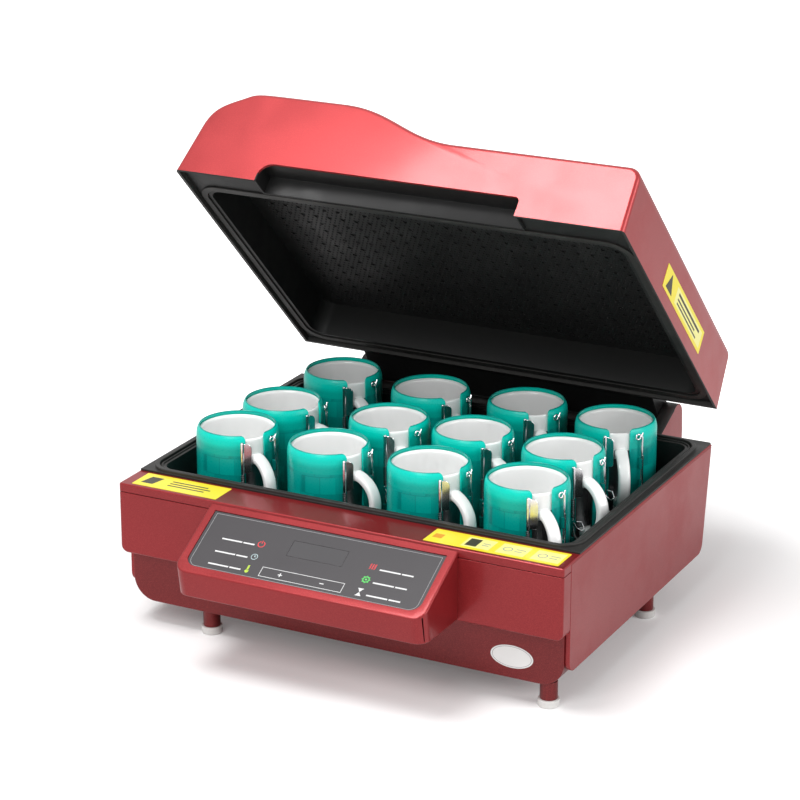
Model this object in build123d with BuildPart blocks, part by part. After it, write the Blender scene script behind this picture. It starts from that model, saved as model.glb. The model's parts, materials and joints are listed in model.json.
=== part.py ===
"""Bench-top vacuum sublimation heat press with a hinged lid and a tray of clamped mugs.

Millimetres. +Z is up, +X is to the operator's right and -Y faces the operator. The origin is the
centre of the machine's footprint on the bench. The model stands with its lid fully open.
"""

import os
from math import atan2, cos, radians, sin, sqrt, tan

from build123d import *

os.makedirs("parts", exist_ok=True)

# ---------------------------------------------------------------- driving dimensions
casing_width = 501.0
casing_depth = 386.0
rim_height = 160.0
foot_height = 27.0
console_reach = 77.0
housing_reach = 62.0
sheet = 2.0
fit_gap = 0.2
running_gap = 0.05
fillet_small = 1.0

# lower casing and panels
lower_setback = 16.0
side_inset = 5.0
lower_corner = 25.0
side_panel_bottom = 42.5
side_panel_corner = 12.0
rear_lean_angle = 9.0
fascia_height = 67.0
fascia_wrap = 18.0
fascia_wall = 2.5
fascia_corner = 8.0
bezel_height = 9.0
seam = 0.6
front_lip = 41.0
base_plate_sheet = 1.5
panel_flange = 12.0

# feet
foot_post_radius = 9.0
foot_pad_radius = 11.0
foot_pad_height = 8.0
foot_right_x = 224.5
foot_left_x = -160.0
foot_front_inset = 29.0
foot_rear_inset = 274.0

# tray and its rim
tray_width = 464.0
tray_length = 312.0
tray_front = 54.0
tray_depth = 55.5
tray_wall = 1.5
tray_corner = 14.0
tray_flange = 7.0
rim_setback = 1.0
rim_base = 2.0
rim_ridge = 5.0
ridge_width = 5.0
ridge_clearance = 7.0
floor_sheet = 1.5
floor_hole_radius = 3.0
vent_columns = 5
vent_rows = 9
floor_hole_pitch = 24.0
floor_hole_columns = 18
floor_hole_rows = 12

# heaters
heater_radius = 4.0
heater_margin = 34.0
heater_legs = 6
insulation_thickness = 8.0
insulation_margin = 20.0

# console
console_width = 279.0
console_left = -140.5
console_top_drop = 3.0
console_nose_drop = 46.0
console_lip = 29.0
console_lip_lean = 5.0
console_wall = 2.5
console_corner = 14.0
overlay_margin_side = 9.0
overlay_margin_top = 7.0
overlay_margin_bottom = 9.0
overlay_thickness = 0.6
overlay_corner = 12.0
window_width = 62.0
window_height = 20.0
window_up = 18.0
board_thickness = 1.6
board_drop = 9.0
board_margin = 7.0
overlay_recess = 1.6
boss_radius = 4.0
boss_margin_side = 20.0
boss_margin_end = 13.0
touch_pad_radius = 5.0
touch_pad_inset = 32.0
lamp_inset = 46.0
key_row_pitch = 14.0
level_key_x = 22.0
level_key_down = 19.0

# lid
lid_depth = 380.0
lid_gap = 2.8
lid_open_angle = 44.5
lid_low_height = 71.0
lid_high_height = 102.0
lid_high_rear = 82.0
lid_wall = 3.0
lid_rear_lean = 10.0
lid_cavity_height = 45.0
lid_flange_height = 4.5
lid_liner_wall = 2.0
lid_plate_sheet = 1.2
lid_cavity_margin = 1.0
lid_heater_sheet = 4.0
lid_gasket_thickness = 1.6
lid_gasket_width = 7.0
grip_left = -156.5
grip_right = 134.5
grip_height = 21.0
grip_depth = 30.0
grip_wall = 2.0
grip_corner_left = 16.0
grip_corner_right = 6.0

# hinge
hinge_back = 46.6
hinge_rise = 6.4
hinge_shaft_radius = 6.0
hinge_bush_wall = 2.0
hinge_barrel_radius = 13.5
hinge_neck_width = 352.0
hinge_neck_wall = 2.5
hinge_arm_thickness = 8.0
hinge_arm_spacing = 140.0
cheek_thickness = 15.0
neck_end_gap = 1.0
cheek_radius = 14.0
housing_bottom = 60.0
housing_gap = 4.5

# mugs and their clamps
mug_radius = 41.0
mug_height = 95.0
mug_wall = 4.5
mug_floor = 6.0
handle_reach = 33.0
handle_width = 12.0
handle_thickness = 8.0
handle_top = 73.0
handle_bottom = 18.0
handle_bend = 15.0
handle_taper = 3.0
wrap_gap = 0.3
wrap_thickness = 2.0
wrap_bottom = 5.0
wrap_top = 97.0
wrap_ends = (-17.0, 12.0)
wrap_corner = 4.5
clamp_angles = (-22.0, 28.0)
clamp_rod_radius = 1.2
clamp_rod_offset = 5.2
clamp_bead_radius = 3.0
clamp_drop = 9.0
lever_bottom = 36.0
lever_top = 84.0
lever_length = 10.0
lever_barrel_radius = 2.6
lever_sheet = 1.2
ring_radius = 3.0
ring_wire = 0.8
ring_height = 84.0
ring_reach = 45.2
ring_step = 4.5

# where each mug stands: distance right of the tray's centre, behind it, and its handle's heading
mug_places = [
    (-173, -99, -32), (-62, -103, -20), (53, -102, -28), (161, -100, -42),
    (-169, -10, -5), (-43, -5, -46), (52, 1, -30), (158, -6, -31),
    (-159, 107, -38), (-46, 98, -25), (65, 107, -46), (171, 100, -59),
]

# labels
label_thickness = 0.3
lip_label_depth = 33.0
lip_label_left = (100.0, -187.5)
lip_label_right = (145.0, 170.0)
badge_x = 190.0
badge_z = 50.0
badge_radii = (23.0, 12.0)
lid_label_size = (148.0, 26.0)
lid_label_from_front = 207.0
lid_label_up = 27.0

# machinery inside the base
fan_size = 40.0
fan_depth = 15.0
fan_blades = 7
fan_slots = 7
pump_motor_radius = 21.0
pump_motor_length = 70.0
pump_head = 46.0
pump_head_x = -165.0
pump_behind_port = 60.0
flywheel_radius = 17.0
flywheel_thickness = 7.0
pump_shaft_radius = 3.0
hose_radius = 4.0

# fan
fan_up = 52.0
fan_pin = 1.5
fan_plate = 2.0
fan_clearance = 1.0

# power inlet and switch
inlet_up = 28.0
switch_up = 60.0
inlet_width = 30.0
inlet_height = 24.0
switch_width = 14.0
switch_height = 20.0
inlet_flange = 3.0
inlet_depth = 18.0
inlet_wall = 3.0
inlet_pin = (2.0, 4.0)
inlet_pin_spread = 7.0
inlet_pin_rise = 1.0
inlet_earth_drop = 2.0
switch_flange = 1.5
switch_depth = 14.0
switch_wall = 1.0
rocker_pivot_drop = 4.5
rocker_pin = 1.2
rocker_rest_angle = 8.0
rocker_reach = 7.6
rocker_boss = 2.8

# electrics
transformer_x = 70.0
transformer_size = (58.0, 46.0, 40.0)
relay_x = 150.0
relay_size = (45.0, 58.0, 23.0)
terminal_length = 64.0
terminal_width = 18.0
terminal_height = 15.0
terminal_ways = 6

# pump and valve
valve_size = 24.0
valve_coil_radius = 11.0

# lid outline
lid_shoulder = 56.0
lid_left_draft = 9.5
lid_right_draft = 2.8
hump_start = -145.0
hump_end = -90.0
slope_end = 45.0
lid_right_corner = 14.0
hump_side = (22.5, 21.0)
hump_brow = (43.0, 8.5)
lid_edge_round = 5.0
liner_gap = 1.0
dimple_pitch = 16.0
dimple_radius = 2.5
dimple_columns = 27
dimple_rows = 18
lid_heater_terminal = 9.0
neck_top = 27.0
neck_base = 1.0

# clamp details
mug_edge = 1.6
mug_foot_edge = 4.0

# console details
display_module_gap = 0.3

# ---------------------------------------------------------------- derived places
half_width = casing_width / 2
overall_depth = console_reach + casing_depth + housing_reach
front_y = -overall_depth / 2 + console_reach
rear_y = front_y + casing_depth
housing_rear_y = rear_y + housing_reach
casing_bottom = foot_height
fascia_top = rim_height - bezel_height - seam
fascia_bottom = fascia_top - fascia_height
lower_front_y = front_y + lower_setback
lower_half = half_width - side_inset
rear_slope = tan(radians(rear_lean_angle))
tray_half = tray_width / 2
tray_front_y = front_y + tray_front
tray_rear_y = tray_front_y + tray_length
tray_centre_y = (tray_front_y + tray_rear_y) / 2
tray_floor_z = rim_height - tray_depth
tray_bottom_z = tray_floor_z - floor_sheet - tray_wall
rim_front_y = front_y + front_lip
rim_outer_half = half_width - rim_setback
heater_z = tray_bottom_z - fit_gap - heater_radius
insulation_top = heater_z - heater_radius - fit_gap
base_plate_top = casing_bottom + sheet + base_plate_sheet
hinge_y = rear_y + hinge_back
hinge_z = rim_height + hinge_rise
console_centre_x = console_left + console_width / 2


def rear_at(height):
    """The rear panel's outer face at a height: it leans forward towards the bottom."""
    return rear_y - (rim_height - height) * rear_slope


def front_view(y):
    """Plane seen from the front: sketch X is X and sketch Y is Z. Its normal points forward."""
    return Plane(origin=(0, y, 0), x_dir=(1, 0, 0), z_dir=(0, -1, 0))


# ---------------------------------------------------------------- base: casing
with BuildPart() as lower_casing:
    with BuildSketch(front_view(lower_front_y)) as pan_outline:
        with Locations((0, casing_bottom)):
            Rectangle(2 * lower_half, rim_height - sheet - casing_bottom, align=(Align.CENTER, Align.MIN))
        fillet(pan_outline.vertices().group_by(Axis.Y)[0], lower_corner)
    extrude(amount=-(rear_y - lower_front_y))
    with BuildSketch(front_view(lower_front_y + sheet)) as pan_inside:
        with Locations((0, casing_bottom + sheet)):
            Rectangle(2 * (lower_half - sheet), rim_height, align=(Align.CENTER, Align.MIN))
        fillet(pan_inside.vertices().group_by(Axis.Y)[0], lower_corner - sheet)
    extrude(amount=-(rear_y - lower_front_y), mode=Mode.SUBTRACT)
    rear_cut = Plane(
        origin=(0, rear_at(rim_height) - sheet - fit_gap, rim_height),
        x_dir=(1, 0, 0),
        z_dir=(0, cos(radians(rear_lean_angle)), -sin(radians(rear_lean_angle))),
    )
    split(bisect_by=rear_cut, keep=Keep.BOTTOM)
    cable_slot_z = fascia_top - fascia_height / 2
    with BuildSketch(front_view(lower_front_y)):
        with Locations((console_centre_x, cable_slot_z)):
            RectangleRounded(console_width / 3, fascia_height / 3, fillet_small * 5)
    extrude(amount=-sheet, mode=Mode.SUBTRACT)
lower_casing.part.label = "lower_casing"
export_step(lower_casing.part, "parts/lower_casing.step")

with BuildPart() as front_fascia:
    with BuildSketch(front_view(front_y)) as fascia_outline:
        with Locations((0, fascia_bottom)):
            Rectangle(casing_width, fascia_height, align=(Align.CENTER, Align.MIN))
        fillet(fascia_outline.vertices().group_by(Axis.Y)[0], fascia_corner)
    extrude(amount=-fascia_wrap)
    fillet(front_fascia.edges().filter_by(Axis.Z).group_by(Axis.Y)[0], fascia_wall)
    with BuildSketch(front_view(front_y + fascia_wall)):
        with Locations((0, fascia_bottom + fascia_wall)):
            Rectangle(
                casing_width - 2 * fascia_wall,
                fascia_height - 2 * fascia_wall,
                align=(Align.CENTER, Align.MIN),
            )
    extrude(amount=-(fascia_wrap - fascia_wall), mode=Mode.SUBTRACT)
    with BuildSketch(front_view(lower_front_y - fit_gap)):
        with Locations((0, fascia_bottom - sheet)):
            Rectangle(2 * (lower_half + fit_gap), 2 * fascia_height, align=(Align.CENTER, Align.MIN))
    extrude(amount=-fascia_wrap, mode=Mode.SUBTRACT)
    with BuildSketch(front_view(front_y)):
        with Locations((console_centre_x, cable_slot_z)):
            RectangleRounded(console_width / 3, fascia_height / 3, fillet_small * 5)
    extrude(amount=-fascia_wrap, mode=Mode.SUBTRACT)
front_fascia.part.label = "front_fascia"
export_step(front_fascia.part, "parts/front_fascia.step")

side_front_y = front_y + fascia_wrap + seam
side_top = rim_height - sheet - fit_gap
for side_name, side in (("side_panel_left", -1), ("side_panel_right", 1)):
    with BuildPart() as side_panel:
        with BuildSketch(Plane.YZ.offset(side * (half_width - side_inset))) as side_outline:
            with BuildLine():
                Polyline(
                    (side_front_y, side_top),
                    (side_front_y, side_panel_bottom),
                    (rear_at(side_panel_bottom), side_panel_bottom),
                    (rear_at(side_top), side_top),
                    close=True,
                )
            make_face()
            fillet(side_outline.vertices().group_by(Axis.Y)[0], side_panel_corner)
        extrude(amount=side * side_inset)
        with BuildSketch(Plane.YZ.offset(side * (half_width - side_inset))):
            offset(side_outline.sketch, amount=-panel_flange, kind=Kind.INTERSECTION)
        extrude(amount=side * (side_inset - sheet), mode=Mode.SUBTRACT)
    side_panel.part.label = side_name
    export_step(side_panel.part, f"parts/{side_name}.step")

rear_plane = Plane(
    origin=(0, rear_at(casing_bottom), casing_bottom),
    x_dir=(-1, 0, 0),
    z_dir=(0, cos(radians(rear_lean_angle)), -sin(radians(rear_lean_angle))),
)
rear_panel_rise = rim_height - sheet - fit_gap - casing_bottom - sheet * sin(radians(rear_lean_angle))
rear_height = rear_panel_rise / cos(radians(rear_lean_angle))
cheek_outer = hinge_neck_width / 2 + neck_end_gap + cheek_thickness
corner_bay_x = (cheek_outer + lower_half) / 2
with BuildPart() as rear_panel:
    with BuildSketch(rear_plane) as rear_outline:
        Rectangle(2 * lower_half, rear_height, align=(Align.CENTER, Align.MIN))
        fillet(rear_outline.vertices().group_by(Axis.Y)[0], lower_corner)
        with Locations((-corner_bay_x, inlet_up)):
            Rectangle(inlet_width + 2 * fit_gap, inlet_height + 2 * fit_gap, mode=Mode.SUBTRACT)
        with Locations((-corner_bay_x, switch_up)):
            Rectangle(switch_width + 2 * fit_gap, switch_height + 2 * fit_gap, mode=Mode.SUBTRACT)
        with Locations((corner_bay_x, fan_up)):
            with GridLocations(0, fan_size / (fan_slots + 1), 1, fan_slots):
                SlotOverall(fan_size * 0.8, fan_size / 16, mode=Mode.SUBTRACT)
    extrude(amount=-sheet)
rear_panel.part.label = "rear_panel"
export_step(rear_panel.part, "parts/rear_panel.step")

with BuildPart() as top_frame:
    with BuildSketch(Plane.XY.offset(rim_height - sheet)) as frame_outline:
        with Locations((0, front_y)):
            Rectangle(casing_width, casing_depth, align=(Align.CENTER, Align.MIN))
        fillet(frame_outline.vertices().group_by(Axis.Y)[0], fascia_wall)
        with Locations((0, tray_centre_y)):
            RectangleRounded(
                tray_width + 2 * (tray_wall + fit_gap),
                tray_length + 2 * (tray_wall + fit_gap),
                tray_corner + tray_wall + fit_gap,
                mode=Mode.SUBTRACT,
            )
    extrude(amount=sheet)
    with BuildSketch(Plane.XY.offset(rim_height - bezel_height)) as skirt_outline:
        with Locations((0, front_y)):
            Rectangle(casing_width, fascia_wrap, align=(Align.CENTER, Align.MIN))
        fillet(skirt_outline.vertices().group_by(Axis.Y)[0], fascia_wall)
        with Locations((0, front_y + fascia_wall)):
            Rectangle(
                casing_width - 2 * fascia_wall,
                casing_depth,
                align=(Align.CENTER, Align.MIN),
                mode=Mode.SUBTRACT,
            )
    extrude(amount=bezel_height - sheet)
    chamfer(top_frame.faces().sort_by(Axis.Z)[-1].outer_wire().edges().group_by(Axis.Y)[0], fillet_small)
top_frame.part.label = "top_frame"
export_step(top_frame.part, "parts/top_frame.step")

with BuildPart() as base_plate:
    plate_front = lower_front_y + sheet + fit_gap
    plate_length = rear_at(casing_bottom) - 2 * sheet - plate_front
    with BuildSketch(Plane.XY.offset(casing_bottom + sheet)):
        with Locations((0, plate_front)):
            Rectangle(2 * (lower_half - lower_corner), plate_length, align=(Align.CENTER, Align.MIN))
        with Locations((0, plate_front + plate_length / 2)):
            with GridLocations(floor_hole_pitch, floor_hole_pitch / 2, vent_columns, vent_rows):
                SlotOverall(floor_hole_pitch * 0.7, floor_hole_radius, mode=Mode.SUBTRACT)
    extrude(amount=base_plate_sheet)
base_plate.part.label = "base_plate"
export_step(base_plate.part, "parts/base_plate.step")

# ---------------------------------------------------------------- base: feet
foot_places = [
    (foot_left_x, front_y + foot_front_inset),
    (foot_right_x, front_y + foot_front_inset),
    (foot_left_x, front_y + foot_rear_inset),
    (foot_right_x, front_y + foot_rear_inset),
]
with BuildPart() as foot_posts:
    with BuildSketch(Plane.XY.offset(foot_pad_height)):
        with Locations(*foot_places):
            Circle(foot_post_radius)
    extrude(amount=casing_bottom - foot_pad_height)
foot_posts.part.label = "foot_posts"
export_step(foot_posts.part, "parts/foot_posts.step")

with BuildPart() as foot_pads:
    with BuildSketch(Plane.XY):
        with Locations(*foot_places):
            Circle(foot_pad_radius)
    extrude(amount=foot_pad_height)
    fillet(foot_pads.edges().group_by(Axis.Z)[0], fillet_small)
foot_pads.part.label = "foot_pads"
export_step(foot_pads.part, "parts/foot_pads.step")

# ---------------------------------------------------------------- base: tray and rim
with BuildPart() as tray:
    with BuildSketch(Plane.XY.offset(rim_height)):
        with Locations((0, tray_centre_y)):
            RectangleRounded(
                tray_width + 2 * (tray_wall + tray_flange),
                tray_length + 2 * (tray_wall + tray_flange),
                tray_corner + tray_wall + tray_flange,
            )
    extrude(amount=tray_wall)
    with BuildSketch(Plane.XY.offset(rim_height)):
        with Locations((0, tray_centre_y)):
            RectangleRounded(
                tray_width + 2 * tray_wall, tray_length + 2 * tray_wall, tray_corner + tray_wall
            )
    extrude(amount=-(rim_height - tray_bottom_z))
    with BuildSketch(Plane.XY.offset(rim_height + tray_wall)):
        with Locations((0, tray_centre_y)):
            RectangleRounded(tray_width, tray_length, tray_corner)
    extrude(amount=-(rim_height - tray_bottom_z), mode=Mode.SUBTRACT)
    port_x = -tray_half + heater_margin / 2
    port_y = tray_centre_y
    with Locations((port_x, port_y, tray_bottom_z + tray_wall)):
        Hole(hose_radius, depth=tray_wall)
tray.part.label = "tray"
export_step(tray.part, "parts/tray.step")

with BuildPart() as tray_floor_plate:
    with BuildSketch(Plane.XY.offset(tray_floor_z - floor_sheet)):
        with Locations((0, tray_centre_y)):
            RectangleRounded(
                tray_width - 2 * fit_gap, tray_length - 2 * fit_gap, tray_corner - fit_gap
            )
            with GridLocations(floor_hole_pitch, floor_hole_pitch, floor_hole_columns, floor_hole_rows):
                Circle(floor_hole_radius, mode=Mode.SUBTRACT)
    extrude(amount=floor_sheet)
tray_floor_plate.part.label = "tray_floor_plate"
export_step(tray_floor_plate.part, "parts/tray_floor_plate.step")

rim_length = rear_y - rim_setback - rim_front_y
rim_centre_y = (rear_y - rim_setback + rim_front_y) / 2
ridge_inner_width = tray_width + 2 * ridge_clearance
ridge_inner_length = tray_length + 2 * ridge_clearance
with BuildPart() as rim_gasket:
    with BuildSketch(Plane.XY.offset(rim_height)):
        with Locations((0, rim_centre_y)):
            Rectangle(2 * rim_outer_half, rim_length)
        with Locations((0, tray_centre_y)):
            RectangleRounded(
                tray_width + 2 * fit_gap, tray_length + 2 * fit_gap, tray_corner, mode=Mode.SUBTRACT
            )
    extrude(amount=rim_base)
    with BuildSketch(Plane.XY.offset(rim_height + rim_base)):
        with Locations((0, tray_centre_y)):
            RectangleRounded(
                ridge_inner_width + 2 * ridge_width,
                ridge_inner_length + 2 * ridge_width,
                tray_corner + ridge_clearance + ridge_width,
            )
            RectangleRounded(
                ridge_inner_width,
                ridge_inner_length,
                tray_corner + ridge_clearance,
                mode=Mode.SUBTRACT,
            )
    extrude(amount=rim_ridge - rim_base)
    fillet(rim_gasket.faces().sort_by(Axis.Z)[-1].edges(), fillet_small)
    with BuildSketch(Plane.XY.offset(rim_height)):
        with Locations((0, tray_centre_y)):
            RectangleRounded(
                tray_width + 2 * (tray_wall + tray_flange + fit_gap),
                tray_length + 2 * (tray_wall + tray_flange + fit_gap),
                tray_corner + tray_wall + tray_flange + fit_gap,
            )
    extrude(amount=tray_wall, mode=Mode.SUBTRACT)
rim_gasket.part.label = "rim_gasket"
export_step(rim_gasket.part, "parts/rim_gasket.step")

# ---------------------------------------------------------------- base: heater and insulation
heater_half_x = tray_half - heater_margin
leg_pitch = (tray_length - 2 * heater_margin) / (heater_legs - 1)
heater_points = []
for leg in range(heater_legs):
    leg_y = tray_front_y + heater_margin + leg * leg_pitch
    leg_ends = (-heater_half_x, heater_half_x) if leg % 2 == 0 else (heater_half_x, -heater_half_x)
    for leg_x in leg_ends:
        heater_points.append((leg_x, leg_y, heater_z))
with BuildPart() as tray_heater:
    with BuildLine() as heater_path:
        FilletPolyline(*heater_points, radius=leg_pitch * 0.45)
    with BuildSketch(Plane(origin=heater_points[0], z_dir=(1, 0, 0))):
        Circle(heater_radius)
    sweep(path=heater_path.line)
tray_heater.part.label = "tray_heater"
export_step(tray_heater.part, "parts/tray_heater.step")

with BuildPart() as insulation_pad:
    with BuildSketch(Plane.XY.offset(insulation_top - insulation_thickness)):
        with Locations((heater_margin / 2, tray_centre_y)):
            RectangleRounded(
                tray_width - heater_margin, tray_length - insulation_margin, tray_corner
            )
    extrude(amount=insulation_thickness)
insulation_pad.part.label = "insulation_pad"
export_step(insulation_pad.part, "parts/insulation_pad.step")

# ---------------------------------------------------------------- base: console
console_back_z = rim_height - console_top_drop
console_nose_y = front_y - console_reach
console_nose_z = rim_height - console_nose_drop
console_bottom_z = console_nose_z - console_lip
panel_run = front_y - console_nose_y
panel_drop = console_back_z - console_nose_z
panel_length = sqrt(panel_run**2 + panel_drop**2)
panel_plane = Plane(
    origin=(console_centre_x, (front_y + console_nose_y) / 2, (console_back_z + console_nose_z) / 2),
    x_dir=(1, 0, 0),
    z_dir=(0, -panel_drop / panel_length, panel_run / panel_length),
)
overlay_width = console_width - 2 * overlay_margin_side
overlay_length = panel_length - overlay_margin_top - overlay_margin_bottom
overlay_shift = (overlay_margin_bottom - overlay_margin_top) / 2
boss_spacing_x = overlay_width - 2 * boss_margin_side
boss_spacing_y = overlay_length - 2 * boss_margin_end
with BuildPart() as console_housing:
    with BuildSketch(Plane.YZ.offset(console_left)) as console_outline:
        with BuildLine():
            Polyline(
                (front_y, console_back_z),
                (console_nose_y, console_nose_z),
                (console_nose_y + console_lip_lean, console_bottom_z),
                (front_y, console_bottom_z),
                close=True,
            )
        make_face()
    extrude(amount=console_width)
    fillet(
        console_housing.edges().filter_by(Axis.X, reverse=True).group_by(Axis.Y)[0], console_corner
    )
    fillet(console_housing.faces().sort_by(Axis.Z)[-1].edges().sort_by(Axis.Y)[:-1], fillet_small * 2)
    fillet(
        console_housing.faces().filter_by(Axis.Z).sort_by(Axis.Z)[0].edges().sort_by(Axis.Y)[:-1],
        fillet_small * 2,
    )
    with BuildSketch(Plane.YZ.offset(console_left + console_wall)) as console_inside:
        with BuildLine():
            Polyline(
                (front_y + sheet, console_back_z - console_wall / cos(atan2(panel_drop, panel_run))),
                (front_y, console_back_z - console_wall / cos(atan2(panel_drop, panel_run))),
                (
                    console_nose_y + console_wall * 2,
                    console_nose_z - console_wall / cos(atan2(panel_drop, panel_run))
                    + console_wall * 2 * panel_drop / panel_run,
                ),
                (console_nose_y + console_lip_lean + console_wall * 2, console_bottom_z + console_wall),
                (front_y + sheet, console_bottom_z + console_wall),
                close=True,
            )
        make_face()
    extrude(amount=console_width - 2 * console_wall, mode=Mode.SUBTRACT)
    with BuildSketch(panel_plane) as recess_outline:
        with Locations((0, overlay_shift)):
            Rectangle(overlay_width, overlay_length)
        fillet(recess_outline.vertices().group_by(Axis.Y)[0], overlay_corner)
    extrude(amount=-overlay_recess, mode=Mode.SUBTRACT)
    with BuildSketch(panel_plane.offset(-overlay_recess)):
        with Locations((0, window_up / 2 + overlay_shift)):
            Rectangle(window_width, window_height)
    extrude(amount=-console_wall, mode=Mode.SUBTRACT)
    with BuildSketch(panel_plane.offset(-board_drop)):
        with GridLocations(boss_spacing_x, boss_spacing_y, 2, 2):
            Circle(boss_radius)
    extrude(amount=board_drop - overlay_recess - fit_gap)
console_housing.part.label = "console_housing"
export_step(console_housing.part, "parts/console_housing.step")

with BuildPart() as panel_overlay:
    with BuildSketch(panel_plane.offset(-overlay_recess)) as film_outline:
        with Locations((0, overlay_shift)):
            Rectangle(overlay_width - 2 * fit_gap, overlay_length - 2 * fit_gap)
        fillet(film_outline.vertices().group_by(Axis.Y)[0], overlay_corner - fit_gap)
        with Locations((0, window_up / 2 + overlay_shift)):
            Rectangle(window_width, window_height, mode=Mode.SUBTRACT)
    extrude(amount=overlay_thickness)
panel_overlay.part.label = "panel_overlay"
export_step(panel_overlay.part, "parts/panel_overlay.step")

with BuildPart() as display_window:
    with BuildSketch(panel_plane.offset(-overlay_recess - console_wall / 2)):
        with Locations((0, window_up / 2 + overlay_shift)):
            Rectangle(window_width - 2 * fit_gap, window_height - 2 * fit_gap)
    extrude(amount=overlay_thickness + console_wall / 2)
display_window.part.label = "display_window"
export_step(display_window.part, "parts/display_window.step")

touch_pad_x = -overlay_width / 2 + touch_pad_inset
lamp_x = overlay_width / 2 - lamp_inset
key_rows = (key_row_pitch, 0, -key_row_pitch)
touch_pad_places = [(touch_pad_x, row) for row in key_rows]
touch_pad_places += [(-level_key_x, -level_key_down), (level_key_x, -level_key_down)]
lamp_places = [(lamp_x, row) for row in key_rows]
with BuildPart() as control_board:
    with BuildSketch(panel_plane.offset(-board_drop - board_thickness)):
        Rectangle(boss_spacing_x + 2 * board_margin, boss_spacing_y + 2 * board_margin)
    extrude(amount=board_thickness)
    module_height = board_drop - overlay_recess - console_wall / 2 - display_module_gap
    with BuildSketch(panel_plane.offset(-board_drop)):
        with Locations((0, window_up / 2 + overlay_shift)):
            Rectangle(window_width - 4 * fit_gap, window_height - 4 * fit_gap)
    extrude(amount=module_height)
    with BuildSketch(panel_plane.offset(-board_drop)):
        with Locations(*touch_pad_places):
            Circle(touch_pad_radius)
        with Locations(*lamp_places):
            Circle(touch_pad_radius / 2)
    extrude(amount=board_drop - overlay_recess - console_wall - display_module_gap)
control_board.part.label = "control_board"
export_step(control_board.part, "parts/control_board.step")

# ---------------------------------------------------------------- base: vacuum pump, valve and hose
pump_centre_y = port_y + pump_behind_port
pump_axis_z = base_plate_top + pump_motor_radius + sheet
pump_motor_x = pump_head_x + pump_head / 2
flywheel_x = pump_motor_x + pump_motor_length + fillet_small
hose_z = pump_axis_z + pump_motor_radius - hose_radius
with BuildPart() as vacuum_pump:
    with BuildSketch(Plane.XY.offset(base_plate_top)):
        with Locations((pump_head_x, pump_centre_y)):
            Rectangle(pump_head, pump_head)
        with Locations((pump_motor_x + pump_motor_length / 2, pump_centre_y)):
            Rectangle(pump_motor_length * 0.7, pump_motor_radius * 1.6)
    extrude(amount=pump_motor_radius)
    with BuildSketch(Plane.XY.offset(base_plate_top)):
        with Locations((pump_head_x, pump_centre_y)):
            RectangleRounded(pump_head, pump_head, fillet_small * 4)
    extrude(amount=hose_z + hose_radius + sheet - base_plate_top)
    with BuildSketch(Plane.YZ.offset(pump_motor_x)):
        with Locations((pump_centre_y, pump_axis_z)):
            Circle(pump_motor_radius)
    extrude(amount=pump_motor_length)
    with BuildSketch(Plane.YZ.offset(pump_motor_x + pump_motor_length)):
        with Locations((pump_centre_y, pump_axis_z)):
            Circle(pump_shaft_radius + running_gap)
    extrude(amount=-pump_motor_length / 4, mode=Mode.SUBTRACT)
vacuum_pump.part.label = "vacuum_pump"
export_step(vacuum_pump.part, "parts/vacuum_pump.step")

with BuildPart() as pump_flywheel:
    with BuildSketch(Plane.YZ.offset(flywheel_x)):
        with Locations((pump_centre_y, pump_axis_z)):
            Circle(flywheel_radius)
            with PolarLocations(flywheel_radius * 0.6, 6):
                Circle(flywheel_radius * 0.18, mode=Mode.SUBTRACT)
    extrude(amount=flywheel_thickness)
    with BuildSketch(Plane.YZ.offset(flywheel_x)):
        with Locations((pump_centre_y, pump_axis_z)):
            Circle(pump_shaft_radius)
    extrude(amount=-(pump_motor_length / 4))
pump_flywheel.part.label = "pump_flywheel"
export_step(pump_flywheel.part, "parts/pump_flywheel.step")

valve_top = tray_bottom_z - hose_radius * 2
with BuildPart() as vacuum_valve:
    with BuildSketch(Plane.XY.offset(valve_top - valve_size)):
        with Locations((port_x, port_y)):
            Rectangle(valve_size, valve_size)
    extrude(amount=valve_size)
    with BuildSketch(Plane.XY.offset(valve_top)):
        with Locations((port_x, port_y)):
            Circle(hose_radius - fit_gap)
    extrude(amount=tray_bottom_z + tray_wall - valve_top)
    with BuildSketch(Plane.XY.offset(valve_top - valve_size)):
        with Locations((port_x, port_y)):
            Circle(valve_coil_radius)
    extrude(amount=-valve_size)
vacuum_valve.part.label = "vacuum_valve"
export_step(vacuum_valve.part, "parts/vacuum_valve.step")

hose_points = [
    (port_x + valve_size / 2, port_y, hose_z),
    (pump_head_x, port_y, hose_z),
    (pump_head_x, pump_centre_y - pump_head / 2, hose_z),
]
with BuildPart() as vacuum_hose:
    with BuildLine() as hose_path:
        FilletPolyline(*hose_points, radius=hose_radius * 4)
    with BuildSketch(Plane(origin=hose_points[0], z_dir=(1, 0, 0))):
        Circle(hose_radius)
    sweep(path=hose_path.line)
vacuum_hose.part.label = "vacuum_hose"
export_step(vacuum_hose.part, "parts/vacuum_hose.step")

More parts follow.
